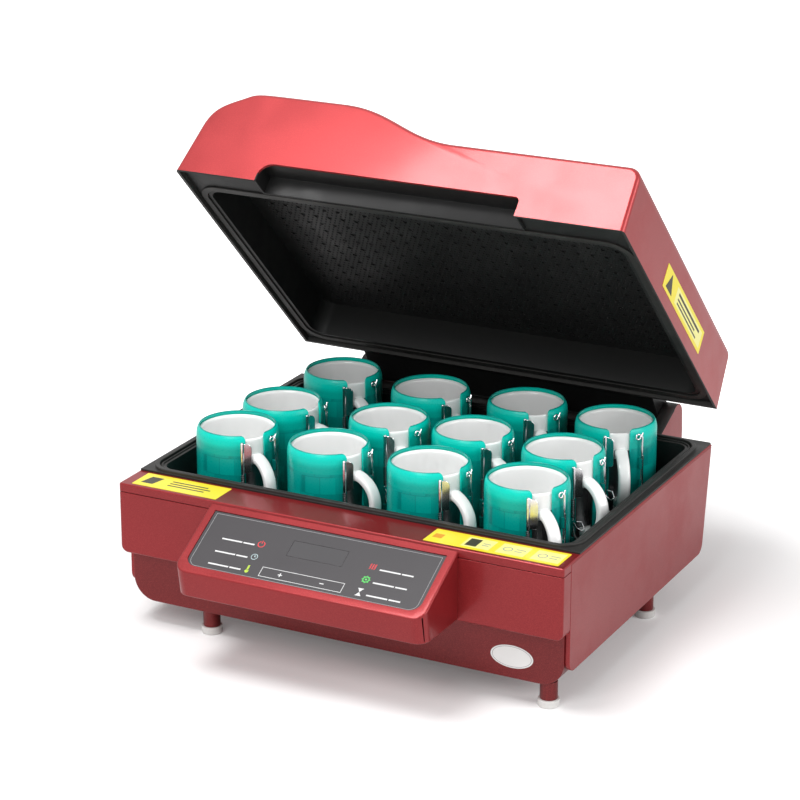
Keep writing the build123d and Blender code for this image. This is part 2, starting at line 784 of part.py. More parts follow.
# ---------------------------------------------------------------- base: electrics
with BuildPart() as power_module:
    with BuildSketch(Plane.XY.offset(base_plate_top)):
        with Locations(((transformer_x + relay_x) / 2, pump_centre_y)):
            Rectangle(relay_x - transformer_x + relay_size[0] + transformer_size[0] / 2, relay_size[1])
    extrude(amount=sheet)
    with BuildSketch(Plane.XY.offset(base_plate_top + sheet)):
        with Locations((transformer_x, pump_centre_y)):
            Rectangle(transformer_size[0], transformer_size[1] / 2)
    extrude(amount=transformer_size[2])
    with BuildSketch(Plane.XY.offset(base_plate_top + sheet + transformer_size[2] / 4)):
        with Locations((transformer_x, pump_centre_y)):
            RectangleRounded(transformer_size[0] / 2, transformer_size[1], fillet_small * 3)
    extrude(amount=transformer_size[2] / 2)
    with BuildSketch(Plane.XY.offset(base_plate_top + sheet)):
        with Locations((relay_x, pump_centre_y)):
            Rectangle(relay_size[0], relay_size[1])
    extrude(amount=relay_size[2])
power_module.part.label = "power_module"
export_step(power_module.part, "parts/power_module.step")

with BuildPart() as terminal_block:
    with BuildSketch(Plane.XY.offset(base_plate_top)):
        with Locations((relay_x, port_y - terminal_length)):
            Rectangle(terminal_length, terminal_width)
    extrude(amount=terminal_height)
    with BuildSketch(Plane.XY.offset(base_plate_top + terminal_height)):
        with Locations((relay_x, port_y - terminal_length)):
            with GridLocations(terminal_length / terminal_ways, terminal_width / 2, terminal_ways, 2):
                Circle(terminal_width / 6)
    extrude(amount=-terminal_height / 2, mode=Mode.SUBTRACT)
terminal_block.part.label = "terminal_block"
export_step(terminal_block.part, "parts/terminal_block.step")

fan_bore = fan_size / 2 - 2.0
fan_hub = fan_size * 0.18
fan_back = rear_plane.offset(-sheet - fit_gap - fan_depth)
with BuildPart() as fan_frame:
    with BuildSketch(fan_back):
        with Locations((corner_bay_x, fan_up)):
            RectangleRounded(fan_size, fan_size, fan_plate)
            Circle(fan_bore, mode=Mode.SUBTRACT)
    extrude(amount=fan_depth)
    with BuildSketch(fan_back):
        with Locations((corner_bay_x, fan_up)):
            Circle(fan_hub)
            with PolarLocations(fan_bore / 2, 4, 45):
                Rectangle(fan_bore + fan_plate, fan_plate * 1.5)
    extrude(amount=fan_plate)
    with BuildSketch(fan_back):
        with Locations((corner_bay_x, fan_up)):
            Circle(fan_pin)
    extrude(amount=fan_depth * 0.8)
fan_frame.part.label = "fan_frame"
export_step(fan_frame.part, "parts/fan_frame.step")

with BuildPart() as fan_rotor:
    with BuildSketch(fan_back.offset(fan_plate + fan_clearance)):
        with Locations((corner_bay_x, fan_up)):
            Circle(fan_hub)
    extrude(amount=fan_depth - fan_plate - 2 * fan_clearance)
    with BuildSketch(fan_back.offset(fan_plate + 2 * fan_clearance)):
        with Locations((corner_bay_x, fan_up)):
            with PolarLocations((fan_hub + fan_bore - fan_clearance - fan_plate) / 2, fan_blades):
                Rectangle(fan_bore - fan_clearance - fan_hub + fan_plate, fan_plate)
    extrude(amount=fan_depth - fan_plate - 4 * fan_clearance)
    with BuildSketch(fan_back.offset(fan_plate)):
        with Locations((corner_bay_x, fan_up)):
            Circle(fan_pin + running_gap)
    extrude(amount=fan_depth * 0.8 - fan_plate + fan_clearance / 2, mode=Mode.SUBTRACT)
fan_rotor.part.label = "fan_rotor"
export_step(fan_rotor.part, "parts/fan_rotor.step")

with BuildPart() as power_inlet:
    with BuildSketch(rear_plane.offset(-inlet_depth)):
        with Locations((-corner_bay_x, inlet_up)):
            Rectangle(inlet_width, inlet_height)
    extrude(amount=inlet_depth)
    with BuildSketch(rear_plane):
        with Locations((-corner_bay_x, inlet_up)):
            RectangleRounded(
                inlet_width + 2 * inlet_flange, inlet_height + 2 * inlet_flange, inlet_flange
            )
    extrude(amount=sheet)
    with BuildSketch(rear_plane.offset(sheet)) as inlet_mouth:
        with Locations((-corner_bay_x, inlet_up)):
            Rectangle(inlet_width - 2 * inlet_wall, inlet_height - 2 * inlet_wall)
        chamfer(inlet_mouth.vertices().group_by(Axis.Y)[-1], inlet_wall)
    extrude(amount=-inlet_depth, mode=Mode.SUBTRACT)
    with BuildSketch(rear_plane.offset(sheet - inlet_depth)):
        with Locations(
            (-corner_bay_x, inlet_up - inlet_earth_drop),
            (-corner_bay_x - inlet_pin_spread, inlet_up + inlet_pin_rise),
            (-corner_bay_x + inlet_pin_spread, inlet_up + inlet_pin_rise),
        ):
            Rectangle(*inlet_pin)
    extrude(amount=inlet_depth / 3)
power_inlet.part.label = "power_inlet"
export_step(power_inlet.part, "parts/power_inlet.step")

with BuildPart() as switch_housing:
    with BuildSketch(rear_plane.offset(-switch_depth)):
        with Locations((-corner_bay_x, switch_up)):
            Rectangle(switch_width, switch_height)
    extrude(amount=switch_depth)
    with BuildSketch(rear_plane):
        with Locations((-corner_bay_x, switch_up)):
            Rectangle(switch_width + 2 * switch_flange, switch_height + 2 * switch_flange)
    extrude(amount=switch_flange)
    with BuildSketch(rear_plane.offset(switch_flange)):
        with Locations((-corner_bay_x, switch_up)):
            Rectangle(switch_width - 2 * switch_wall, switch_height - 2 * switch_wall)
    extrude(amount=-(switch_flange + rocker_pivot_drop * 2), mode=Mode.SUBTRACT)
    pivot = rear_plane.offset(-rocker_pivot_drop).from_local_coords(
        (-corner_bay_x - switch_width / 2 + switch_wall / 2, switch_up, 0)
    )
    pivot_side = Plane(origin=pivot, x_dir=rear_plane.z_dir, z_dir=rear_plane.x_dir)
    with BuildSketch(pivot_side):
        Circle(rocker_pin)
    extrude(amount=switch_width - switch_wall)
switch_housing.part.label = "switch_housing"
export_step(switch_housing.part, "parts/switch_housing.step")

rocker_tilt = radians(rocker_rest_angle)
rocker_plane = Plane(
    origin=pivot_side.offset(switch_wall / 2 + fit_gap).origin,
    x_dir=rear_plane.z_dir * cos(rocker_tilt) + rear_plane.y_dir * sin(rocker_tilt),
    z_dir=rear_plane.x_dir,
)
with BuildPart() as power_rocker:
    with BuildSketch(rocker_plane):
        Circle(rocker_boss)
        with BuildLine():
            Polyline(
                (0, -rocker_boss),
                (rocker_reach * 0.4, -rocker_reach),
                (rocker_reach, -rocker_reach),
                (rocker_reach * 0.78, 0),
                (rocker_reach, rocker_reach),
                (rocker_reach * 0.4, rocker_reach),
                (0, rocker_boss),
                close=True,
            )
        make_face()
        Circle(rocker_pin + running_gap, mode=Mode.SUBTRACT)
    extrude(amount=switch_width - 2 * switch_wall - 2 * fit_gap)
power_rocker.part.label = "power_rocker"
export_step(power_rocker.part, "parts/power_rocker.step")

# ---------------------------------------------------------------- hinge: fixed housing and shaft
housing_top = hinge_z - cheek_radius - housing_gap
housing_face_gap = fit_gap


def housing_front(height):
    """The housing's front edge, which lies against the leaning rear panel."""
    return rear_at(height) + housing_face_gap


with BuildPart() as hinge_housing:
    with BuildSketch(Plane.YZ.offset(-cheek_outer)) as block_outline:
        with BuildLine():
            Polyline(
                (housing_front(housing_bottom), housing_bottom),
                (housing_rear_y, housing_bottom),
                (housing_rear_y, housing_top),
                (housing_front(housing_top), housing_top),
                close=True,
            )
        make_face()
    extrude(amount=2 * cheek_outer)
    with BuildSketch(Plane.YZ.offset(-cheek_outer + sheet)):
        with BuildLine():
            Polyline(
                (housing_front(housing_bottom) - sheet, housing_bottom + sheet),
                (housing_rear_y - sheet, housing_bottom + sheet),
                (housing_rear_y - sheet, housing_top - sheet),
                (housing_front(housing_top) - sheet, housing_top - sheet),
                close=True,
            )
        make_face()
    extrude(amount=2 * (cheek_outer - sheet), mode=Mode.SUBTRACT)
    for cheek_x in (-cheek_outer, cheek_outer - cheek_thickness):
        with BuildSketch(Plane.YZ.offset(cheek_x)):
            with Locations((hinge_y, hinge_z)):
                Circle(cheek_radius)
            with BuildLine():
                Polyline(
                    (rear_y + housing_face_gap, housing_top - fillet_small),
                    (rear_y + housing_face_gap, rim_height),
                    (hinge_y, hinge_z + cheek_radius),
                    (hinge_y + cheek_radius, hinge_z),
                    (housing_rear_y, housing_top - fillet_small),
                    close=True,
                )
            make_face()
        extrude(amount=cheek_thickness)
    shaft_seat_x = cheek_outer - sheet
    with BuildSketch(Plane.YZ.offset(-shaft_seat_x)):
        with Locations((hinge_y, hinge_z)):
            Circle(hinge_shaft_radius + running_gap)
    extrude(amount=2 * shaft_seat_x, mode=Mode.SUBTRACT)
hinge_housing.part.label = "hinge_housing"
export_step(hinge_housing.part, "parts/hinge_housing.step")

with BuildPart() as hinge_shaft:
    with BuildSketch(Plane.YZ.offset(-shaft_seat_x + fit_gap)):
        with Locations((hinge_y, hinge_z)):
            Circle(hinge_shaft_radius)
    extrude(amount=2 * (shaft_seat_x - fit_gap))
hinge_shaft.part.label = "hinge_shaft"
export_step(hinge_shaft.part, "parts/hinge_shaft.step")

# ---------------------------------------------------------------- lid: its own tilted frame
# Distances along the lid are measured from the hinge, negative towards the handle. Heights are
# measured from the lid's bottom edge.
open_sine = sin(radians(lid_open_angle))
open_cosine = cos(radians(lid_open_angle))
lid_bottom = lid_gap - hinge_rise
lid_rear = -hinge_back
lid_front = lid_rear - lid_depth
lid_hinge_plane = Plane(origin=(0, hinge_y, hinge_z), x_dir=(1, 0, 0), z_dir=(0, open_sine, open_cosine))
lid_centre = tray_centre_y - hinge_y


def lid_level(height):
    """Plane parallel to the lid's bottom edge, at a height above it."""
    return lid_hinge_plane.offset(lid_bottom + height)


def lid_section(along):
    """Plane across the lid seen from the handle: sketch X is X and sketch Y is height."""
    return Plane(
        origin=lid_hinge_plane.from_local_coords((0, along, lid_bottom)),
        x_dir=(1, 0, 0),
        z_dir=-lid_hinge_plane.y_dir,
    )


def lid_side(across):
    """Plane along the lid at X = across: sketch X runs from the hinge, sketch Y up from it."""
    return Plane(
        origin=lid_hinge_plane.from_local_coords((across, 0, 0)),
        x_dir=lid_hinge_plane.y_dir,
        z_dir=(1, 0, 0),
    )


lid_rear_slope = lid_rear_lean / lid_low_height


def lid_profile(base, high):
    """The lid's outline across the machine, from height base up: a hump of height high on the left."""
    rise = high / lid_high_height
    left_foot = -half_width + lid_left_draft * base / (lid_shoulder * rise)
    right_foot = half_width - lid_right_draft * base / lid_low_height
    with BuildSketch() as outline:
        with BuildLine():
            left_wall = Line((left_foot, base), (-half_width + lid_left_draft, lid_shoulder * rise))
            hump_corner = Spline(
                left_wall @ 1,
                (-half_width + hump_side[0], (lid_high_height - hump_side[1]) * rise),
                (-half_width + hump_brow[0], (lid_high_height - hump_brow[1]) * rise),
                (hump_start, high),
                tangents=(left_wall % 1, (1, 0)),
            )
            hump_top = Line(hump_corner @ 1, (hump_end, high))
            shoulder_curve = Spline(
                hump_top @ 1,
                ((hump_end + slope_end) / 2, (high + lid_low_height) / 2),
                (slope_end, lid_low_height),
                tangents=((1, 0), (1, 0)),
            )
            Polyline(
                shoulder_curve @ 1,
                (half_width - lid_right_draft, lid_low_height),
                (right_foot, base),
                left_wall @ 0,
            )
        make_face()
        fillet(outline.vertices().sort_by_distance((half_width, lid_low_height))[0], lid_right_corner)
    return outline.sketch


def lid_skin(inset):
    """The lid's outer profile moved inwards by inset, at the front and at the rear."""
    base = -lid_wall - 2 * inset
    front_outline = lid_profile(base, lid_high_height)
    rear_outline = lid_profile(base, lid_high_rear)
    if inset:
        front_outline = offset(front_outline, amount=-inset, kind=Kind.INTERSECTION)
        rear_outline = offset(rear_outline, amount=-inset, kind=Kind.INTERSECTION)
    return front_outline, rear_outline


outer_skin = lid_skin(0)
inner_skin = lid_skin(lid_wall)
grip_outline_centre = (grip_left + grip_right) / 2


def rear_wall_plane(inset):
    """The lid's leaning rear wall, moved inwards by inset. Its normal points at the hinge."""
    lean = atan2(lid_rear_lean, lid_low_height)
    return Plane(
        origin=lid_hinge_plane.from_local_coords((0, lid_rear - inset, lid_bottom)),
        x_dir=(1, 0, 0),
        z_dir=lid_hinge_plane.y_dir * cos(lean) + lid_hinge_plane.z_dir * sin(lean),
    )


with BuildPart() as lid_cavity:
    with BuildSketch(lid_section(lid_front)):
        add(inner_skin[0])
    with BuildSketch(lid_section(lid_rear)):
        add(inner_skin[1])
    loft()
    split(bisect_by=rear_wall_plane(lid_wall), keep=Keep.BOTTOM)
    split(bisect_by=lid_section(lid_front + lid_wall), keep=Keep.BOTTOM)

with BuildPart() as lid_shell:
    with BuildSketch(lid_section(lid_front)):
        add(outer_skin[0])
    with BuildSketch(lid_section(lid_rear)):
        add(outer_skin[1])
    loft()
    split(bisect_by=rear_wall_plane(0), keep=Keep.BOTTOM)
    split(bisect_by=lid_level(0), keep=Keep.TOP)
    front_rim = lid_shell.faces().sort_by(Axis((0, 0, 0), lid_hinge_plane.y_dir))[0]
    fillet(front_rim.edges().sort_by(Axis((0, 0, 0), lid_hinge_plane.z_dir))[1:], lid_edge_round)
    add(lid_cavity.part, mode=Mode.SUBTRACT)
    with BuildSketch(lid_section(lid_front)) as grip_mouth:
        with Locations((grip_outline_centre, -lid_wall)):
            Rectangle(
                grip_right - grip_left, grip_height + lid_wall, align=(Align.CENTER, Align.MIN)
            )
        fillet(grip_mouth.vertices().group_by(Axis.Y)[-1].sort_by(Axis.X)[0], grip_corner_left)
        fillet(grip_mouth.vertices().group_by(Axis.Y)[-1].sort_by(Axis.X)[-1], grip_corner_right)
    extrude(amount=-lid_wall - fillet_small, mode=Mode.SUBTRACT)
lid_shell.part.label = "lid_shell"
export_step(lid_shell.part, "parts/lid_shell.step")

# ---------------------------------------------------------------- lid: inside
cavity_width = tray_width + 2 * lid_cavity_margin
cavity_length = tray_length + 2 * lid_cavity_margin
liner_front = lid_front + lid_wall + liner_gap
liner_rear = lid_rear - lid_wall - liner_gap - lid_rear_slope * (lid_flange_height + lid_liner_wall)
liner_top = lid_flange_height + lid_liner_wall
lid_left_lean = lid_left_draft * liner_top * lid_high_height / (lid_shoulder * lid_high_rear)
liner_half = half_width - lid_wall - lid_left_lean - 2 * fit_gap
grip_back = lid_front + grip_depth
with BuildPart() as lid_liner:
    with BuildSketch(lid_level(lid_flange_height)):
        with Locations((0, (liner_front + liner_rear) / 2)):
            Rectangle(2 * liner_half, liner_rear - liner_front)
        with Locations((grip_outline_centre, liner_front)):
            Rectangle(
                grip_right - grip_left + 2 * (grip_wall + fit_gap),
                2 * (grip_back + fit_gap - liner_front),
                mode=Mode.SUBTRACT,
            )
    extrude(amount=lid_liner_wall)
    with BuildSketch(lid_level(lid_flange_height)):
        with Locations((0, lid_centre)):
            RectangleRounded(
                cavity_width + 2 * lid_liner_wall,
                cavity_length + 2 * lid_liner_wall,
                tray_corner + lid_cavity_margin + lid_liner_wall,
            )
    extrude(amount=lid_cavity_height + lid_liner_wall - lid_flange_height)
    with BuildSketch(lid_level(0)):
        with Locations((0, lid_centre)):
            RectangleRounded(cavity_width, cavity_length, tray_corner + lid_cavity_margin)
    extrude(amount=lid_cavity_height, mode=Mode.SUBTRACT)
lid_liner.part.label = "lid_liner"
export_step(lid_liner.part, "parts/lid_liner.step")

seal_inner = ridge_clearance + (ridge_width - lid_gasket_width) / 2
with BuildPart() as lid_gasket:
    with BuildSketch(lid_level(lid_flange_height)):
        with Locations((0, lid_centre)):
            RectangleRounded(
                tray_width + 2 * (seal_inner + lid_gasket_width),
                tray_length + 2 * (seal_inner + lid_gasket_width),
                tray_corner + seal_inner + lid_gasket_width,
            )
            RectangleRounded(
                tray_width + 2 * seal_inner,
                tray_length + 2 * seal_inner,
                tray_corner + seal_inner,
                mode=Mode.SUBTRACT,
            )
    extrude(amount=-lid_gasket_thickness)
lid_gasket.part.label = "lid_gasket"
export_step(lid_gasket.part, "parts/lid_gasket.step")

with BuildPart() as lid_plate:
    with BuildSketch(lid_level(lid_cavity_height - fit_gap)):
        with Locations((0, lid_centre)):
            RectangleRounded(
                cavity_width - 2 * fit_gap,
                cavity_length - 2 * fit_gap,
                tray_corner + lid_cavity_margin - fit_gap,
            )
            with GridLocations(dimple_pitch, dimple_pitch, dimple_columns, dimple_rows):
                Circle(dimple_radius, mode=Mode.SUBTRACT)
    extrude(amount=-lid_plate_sheet)
lid_plate.part.label = "lid_plate"
export_step(lid_plate.part, "parts/lid_plate.step")

lid_heater_base = lid_cavity_height + lid_liner_wall + fit_gap
with BuildPart() as lid_heater:
    with BuildSketch(lid_level(lid_heater_base)):
        with Locations((0, lid_centre)):
            RectangleRounded(
                cavity_width - heater_margin * 2, cavity_length - heater_margin * 2, tray_corner
            )
            with GridLocations(0, (cavity_length - heater_margin * 2) / heater_legs, 1, heater_legs):
                SlotOverall(cavity_width - heater_margin * 4, heater_radius, mode=Mode.SUBTRACT)
    extrude(amount=lid_heater_sheet)
    with BuildSketch(lid_level(lid_heater_base + lid_heater_sheet)):
        with Locations((0, lid_centre + cavity_length / 2 - heater_margin - lid_heater_terminal)):
            with GridLocations(lid_heater_terminal * 3, 0, 2, 1):
                Circle(lid_heater_terminal / 2)
    extrude(amount=lid_heater_sheet)
lid_heater.part.label = "lid_heater"
export_step(lid_heater.part, "parts/lid_heater.step")

with BuildPart() as lid_grip:
    grip_width_outer = grip_right - grip_left + 2 * grip_wall
    with BuildSketch(lid_level(fillet_small)):
        with Locations((grip_outline_centre, lid_front + lid_wall + fit_gap)):
            Rectangle(
                grip_width_outer, grip_depth - lid_wall - fit_gap, align=(Align.CENTER, Align.MIN)
            )
    extrude(amount=grip_height + grip_wall - fillet_small)
    with BuildSketch(lid_level(0)) as grip_pocket:
        with Locations((grip_outline_centre, lid_front)):
            Rectangle(
                grip_right - grip_left, grip_depth - grip_wall, align=(Align.CENTER, Align.MIN)
            )
    extrude(amount=grip_height, mode=Mode.SUBTRACT)
lid_grip.part.label = "lid_grip"
export_step(lid_grip.part, "parts/lid_grip.step")

# ---------------------------------------------------------------- lid: hinge arms, bushes and cover


def rear_wall_at(height):
    """The lid's rear wall, seen from the side, at a height above the lid's bottom edge."""
    return lid_rear - lid_rear_slope * height


def neck_profile(shrink):
    """The hinge cover's side outline, moved inwards by shrink: a barrel and a web to the lid."""
    radius = hinge_barrel_radius - shrink
    with BuildSketch() as outline:
        Circle(radius)
        with BuildLine():
            Polyline(
                (0, radius),
                (rear_wall_at(neck_top - shrink) + fit_gap, lid_bottom + neck_top - shrink),
                (rear_wall_at(neck_base + shrink) + fit_gap, lid_bottom + neck_base + shrink),
                (0, -radius),
                close=True,
            )
        make_face()
    return outline.sketch


neck_outer = neck_profile(0)
neck_inner = neck_profile(hinge_neck_wall)
arm_outline = neck_profile(hinge_neck_wall + fit_gap)
bush_radius = hinge_shaft_radius + running_gap + hinge_bush_wall
with BuildPart() as hinge_neck:
    with BuildSketch(lid_side(-hinge_neck_width / 2)):
        add(neck_outer)
    extrude(amount=hinge_neck_width)
    with BuildSketch(lid_side(-hinge_neck_width / 2 + hinge_neck_wall)):
        add(neck_inner)
    extrude(amount=hinge_neck_width - 2 * hinge_neck_wall, mode=Mode.SUBTRACT)
    with BuildSketch(lid_side(-hinge_neck_width / 2)):
        Circle(hinge_shaft_radius + fit_gap * 2)
    extrude(amount=hinge_neck_width, mode=Mode.SUBTRACT)
hinge_neck.part.label = "hinge_neck"
export_step(hinge_neck.part, "parts/hinge_neck.step")

arm_places = (-hinge_arm_spacing, 0, hinge_arm_spacing)
with BuildPart() as hinge_arms:
    for arm_x in arm_places:
        with BuildSketch(lid_side(arm_x - hinge_arm_thickness / 2)):
            add(arm_outline)
            Circle(bush_radius, mode=Mode.SUBTRACT)
        extrude(amount=hinge_arm_thickness)
hinge_arms.part.label = "hinge_arms"
export_step(hinge_arms.part, "parts/hinge_arms.step")

with BuildPart() as hinge_bushes:
    for arm_x in arm_places:
        with BuildSketch(lid_side(arm_x - hinge_arm_thickness)):
            Circle(bush_radius - running_gap / 5)
            Circle(hinge_shaft_radius + running_gap, mode=Mode.SUBTRACT)
        extrude(amount=hinge_arm_thickness * 2)
hinge_bushes.part.label = "hinge_bushes"
export_step(hinge_bushes.part, "parts/hinge_bushes.step")

# ---------------------------------------------------------------- mugs and their clamps
clamp_rod_reach = mug_radius + clamp_rod_offset
with BuildPart() as mug_form:
    with BuildSketch(Plane.XZ) as mug_half:
        with BuildLine():
            Polyline(
                (0, 0),
                (mug_radius, 0),
                (mug_radius, mug_height),
                (mug_radius - mug_wall, mug_height),
                (mug_radius - mug_wall, mug_floor),
                (0, mug_floor),
                close=True,
            )
        make_face()
        fillet(mug_half.vertices().group_by(Axis.Y)[0].sort_by(Axis.X)[-1], mug_foot_edge)
        fillet(mug_half.vertices().group_by(Axis.Y)[-1], mug_edge)
    revolve(axis=Axis.Z)
    with BuildLine(Plane.XZ) as handle_path:
        FilletPolyline(
            (mug_radius - mug_wall / 2, handle_top),
            (mug_radius + handle_reach - handle_thickness / 2, handle_top - handle_taper),
            (
                mug_radius + handle_reach - handle_thickness / 2 - handle_taper,
                handle_bottom + handle_taper,
            ),
            (mug_radius - mug_wall / 2, handle_bottom),
            radius=handle_bend,
        )
    with BuildSketch(Plane(origin=handle_path.line @ 0, z_dir=handle_path.line % 0)):
        RectangleRounded(handle_thickness, handle_width, handle_thickness / 3)
    sweep(path=handle_path.line)

with BuildPart() as wrap_form:
    with BuildSketch(Plane.XY.offset(wrap_bottom)):
        Circle(mug_radius + wrap_gap + wrap_thickness)
        Circle(mug_radius + wrap_gap, mode=Mode.SUBTRACT)
        with BuildLine():
            opening_reach = mug_radius * 2
            Polyline(
                (0, 0),
                *(
                    (opening_reach * cos(radians(angle)), opening_reach * sin(radians(angle)))
                    for angle in wrap_ends
                ),
                close=True,
            )
        make_face(mode=Mode.SUBTRACT)
    extrude(amount=wrap_top - wrap_bottom)
    fillet(wrap_form.edges().filter_by(GeomType.LINE).group_by(Axis.Z)[-1], wrap_corner)
    clamp_top = wrap_top - clamp_drop
    clamp_sleeves = (
        (clamp_angles[0], wrap_bottom, lever_bottom - fit_gap),
        (clamp_angles[0], lever_top + fit_gap, clamp_top),
        (clamp_angles[1], wrap_bottom, ring_height - ring_radius - ring_wire - fit_gap),
    )
    for angle, sleeve_bottom, sleeve_top in clamp_sleeves:
        with BuildSketch(Plane.XY.offset(sleeve_bottom)):
            with PolarLocations(clamp_rod_reach, 1, angle):
                Circle(clamp_bead_radius)
                Circle(clamp_rod_radius + running_gap, mode=Mode.SUBTRACT)
            Circle(mug_radius + wrap_gap + wrap_thickness / 2, mode=Mode.SUBTRACT)
        extrude(amount=sleeve_top - sleeve_bottom)

rod_bottom = wrap_bottom + fillet_small
rod_top = clamp_top + fillet_small
ring_angle = radians(clamp_angles[1]) - ring_step / ring_reach
with BuildPart() as rod_form:
    with BuildSketch(Plane.XY.offset(rod_bottom)):
        for angle in clamp_angles:
            with PolarLocations(clamp_rod_reach, 1, angle):
                Circle(clamp_rod_radius)
    extrude(amount=rod_top - rod_bottom)
    ring_plane = Plane(
        origin=(ring_reach * cos(ring_angle), ring_reach * sin(ring_angle), ring_height),
        z_dir=(cos(ring_angle), sin(ring_angle), 0),
    )
    with Locations(ring_plane):
        Torus(ring_radius, ring_wire)

with BuildPart() as lever_form:
    with BuildSketch(Plane.XY.offset(lever_bottom)):
        with PolarLocations(clamp_rod_reach, 1, clamp_angles[0]):
            Circle(lever_barrel_radius)
            with Locations(Location((0, lever_length / 2, 0))):
                Rectangle(lever_sheet, lever_length)
            Circle(clamp_rod_radius + running_gap, mode=Mode.SUBTRACT)
    extrude(amount=lever_top - lever_bottom)


def mug_location(place):
    """Where a mug stands on the tray's floor, turned so that its handle has its heading."""
    across, behind, heading = place
    return Location((across, tray_centre_y + behind, tray_floor_z), (0, 0, heading))


with BuildPart() as mugs:
    for place in mug_places:
        with Locations(mug_location(place)):
            add(mug_form.part)
mugs.part.label = "mugs"
export_step(mugs.part, "parts/mugs.step")

with BuildPart() as mug_wraps:
    for place in mug_places:
        with Locations(mug_location(place)):
            add(wrap_form.part)
mug_wraps.part.label = "mug_wraps"
export_step(mug_wraps.part, "parts/mug_wraps.step")

with BuildPart() as wrap_rods:
    for place in mug_places:
        with Locations(mug_location(place)):
            add(rod_form.part)
wrap_rods.part.label = "wrap_rods"
export_step(wrap_rods.part, "parts/wrap_rods.step")

for number, place in enumerate(mug_places, start=1):
    with BuildPart() as wrap_lever:
        with Locations(mug_location(place)):
            add(lever_form.part)
    wrap_lever.part.label = f"wrap_lever_{number:02d}"
    export_step(wrap_lever.part, f"parts/wrap_lever_{number:02d}.step")

# ---------------------------------------------------------------- labels
lip_label_y = front_y + (front_lip + fillet_small) / 2
with BuildPart() as lip_labels:
    with BuildSketch(Plane.XY.offset(rim_height)):
        for label_width, label_x in (lip_label_left, lip_label_right):
            with Locations((label_x, lip_label_y)):
                RectangleRounded(label_width, lip_label_depth, fillet_small)
    extrude(amount=label_thickness)
lip_labels.part.label = "lip_labels"
export_step(lip_labels.part, "parts/lip_labels.step")

with BuildPart() as front_badge:
    with BuildSketch(front_view(lower_front_y)):
        with Locations((badge_x, badge_z)):
            Ellipse(*badge_radii)
    extrude(amount=label_thickness)
front_badge.part.label = "front_badge"
export_step(front_badge.part, "parts/front_badge.step")

lid_label_along = lid_front + lid_label_from_front
right_wall_angle = atan2(lid_right_draft, lid_low_height)
lid_label_plane = Plane(
    origin=lid_hinge_plane.from_local_coords((half_width, lid_label_along, lid_bottom)),
    x_dir=lid_hinge_plane.y_dir,
    z_dir=lid_hinge_plane.x_dir * cos(right_wall_angle) + lid_hinge_plane.z_dir * sin(right_wall_angle),
)
with BuildPart() as lid_label:
    with BuildSketch(lid_label_plane):
        with Locations((0, lid_label_up)):
            RectangleRounded(*lid_label_size, fillet_small)
    extrude(amount=label_thickness)
lid_label.part.label = "lid_label"
export_step(lid_label.part, "parts/lid_label.step")
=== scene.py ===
import json
from math import cos, pi, radians, sin

import bmesh
import bpy
from mathutils import Matrix, Vector


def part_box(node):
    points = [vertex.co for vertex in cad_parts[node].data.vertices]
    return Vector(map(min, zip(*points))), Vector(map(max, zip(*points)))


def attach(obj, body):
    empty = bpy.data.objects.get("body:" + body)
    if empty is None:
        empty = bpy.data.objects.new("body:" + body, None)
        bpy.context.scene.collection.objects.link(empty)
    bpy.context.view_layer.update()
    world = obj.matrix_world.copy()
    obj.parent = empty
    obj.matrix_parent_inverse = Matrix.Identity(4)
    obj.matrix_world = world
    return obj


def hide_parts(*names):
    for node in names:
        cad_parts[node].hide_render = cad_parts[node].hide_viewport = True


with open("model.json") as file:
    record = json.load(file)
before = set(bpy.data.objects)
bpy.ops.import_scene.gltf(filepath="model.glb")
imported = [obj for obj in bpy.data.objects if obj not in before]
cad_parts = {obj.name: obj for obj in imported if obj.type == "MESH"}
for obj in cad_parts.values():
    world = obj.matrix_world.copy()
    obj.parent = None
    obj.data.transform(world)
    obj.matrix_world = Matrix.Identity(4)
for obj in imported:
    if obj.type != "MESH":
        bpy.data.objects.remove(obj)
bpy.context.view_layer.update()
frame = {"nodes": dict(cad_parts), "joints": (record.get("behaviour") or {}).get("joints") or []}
nodes = frame["nodes"]
scene = bpy.context.scene

# ------------------------------------------------------------------ camera
# It stands to the right of the machine's front and looks a little down on it, through a long lens.
camera_data = bpy.data.cameras.new("camera")
camera_data.lens = 127.58
camera_data.sensor_width = 36.0
camera = bpy.data.objects.new("camera", camera_data)
camera.location = (1.25237, -2.47244, 1.21277)
camera.rotation_euler = (radians(70.52), 0.0, radians(27.24))
scene.collection.objects.link(camera)
scene.camera = camera
scene.view_settings.view_transform = "Standard"


# ------------------------------------------------------------------ studio
# A white sweep of paper with large soft lamps above, in front and to the right. The paper shows
# white to the camera and in reflections, and keeps the machine's shadow.
def feed(tree, node, **values):
    """Gives a node's inputs their values or sockets, by name. Any other name is a setting."""
    for name, value in values.items():
        label = name.replace("_", " ")
        if label not in node.inputs:
            setattr(node, name, value)
        elif isinstance(value, bpy.types.NodeSocket):
            tree.links.new(value, node.inputs[label])
        else:
            node.inputs[label].default_value = value
    return node


def add_node(tree, kind, **values):
    """A new node of a tree, fed."""
    return feed(tree, tree.nodes.new(kind), **values)


def fed_in_order(tree, node, places, terms):
    """Feeds a node's inputs by their place, for nodes whose inputs share a name."""
    for place, term in zip(places, terms):
        if isinstance(term, bpy.types.NodeSocket):
            tree.links.new(term, node.inputs[place])
        else:
            node.inputs[place].default_value = term
    return node


def worked(tree, operation, *terms):
    """The outcome of a sum. Each term is a socket or a number."""
    node = add_node(tree, "ShaderNodeMath", operation=operation)
    return fed_in_order(tree, node, range(3), terms).outputs[0]


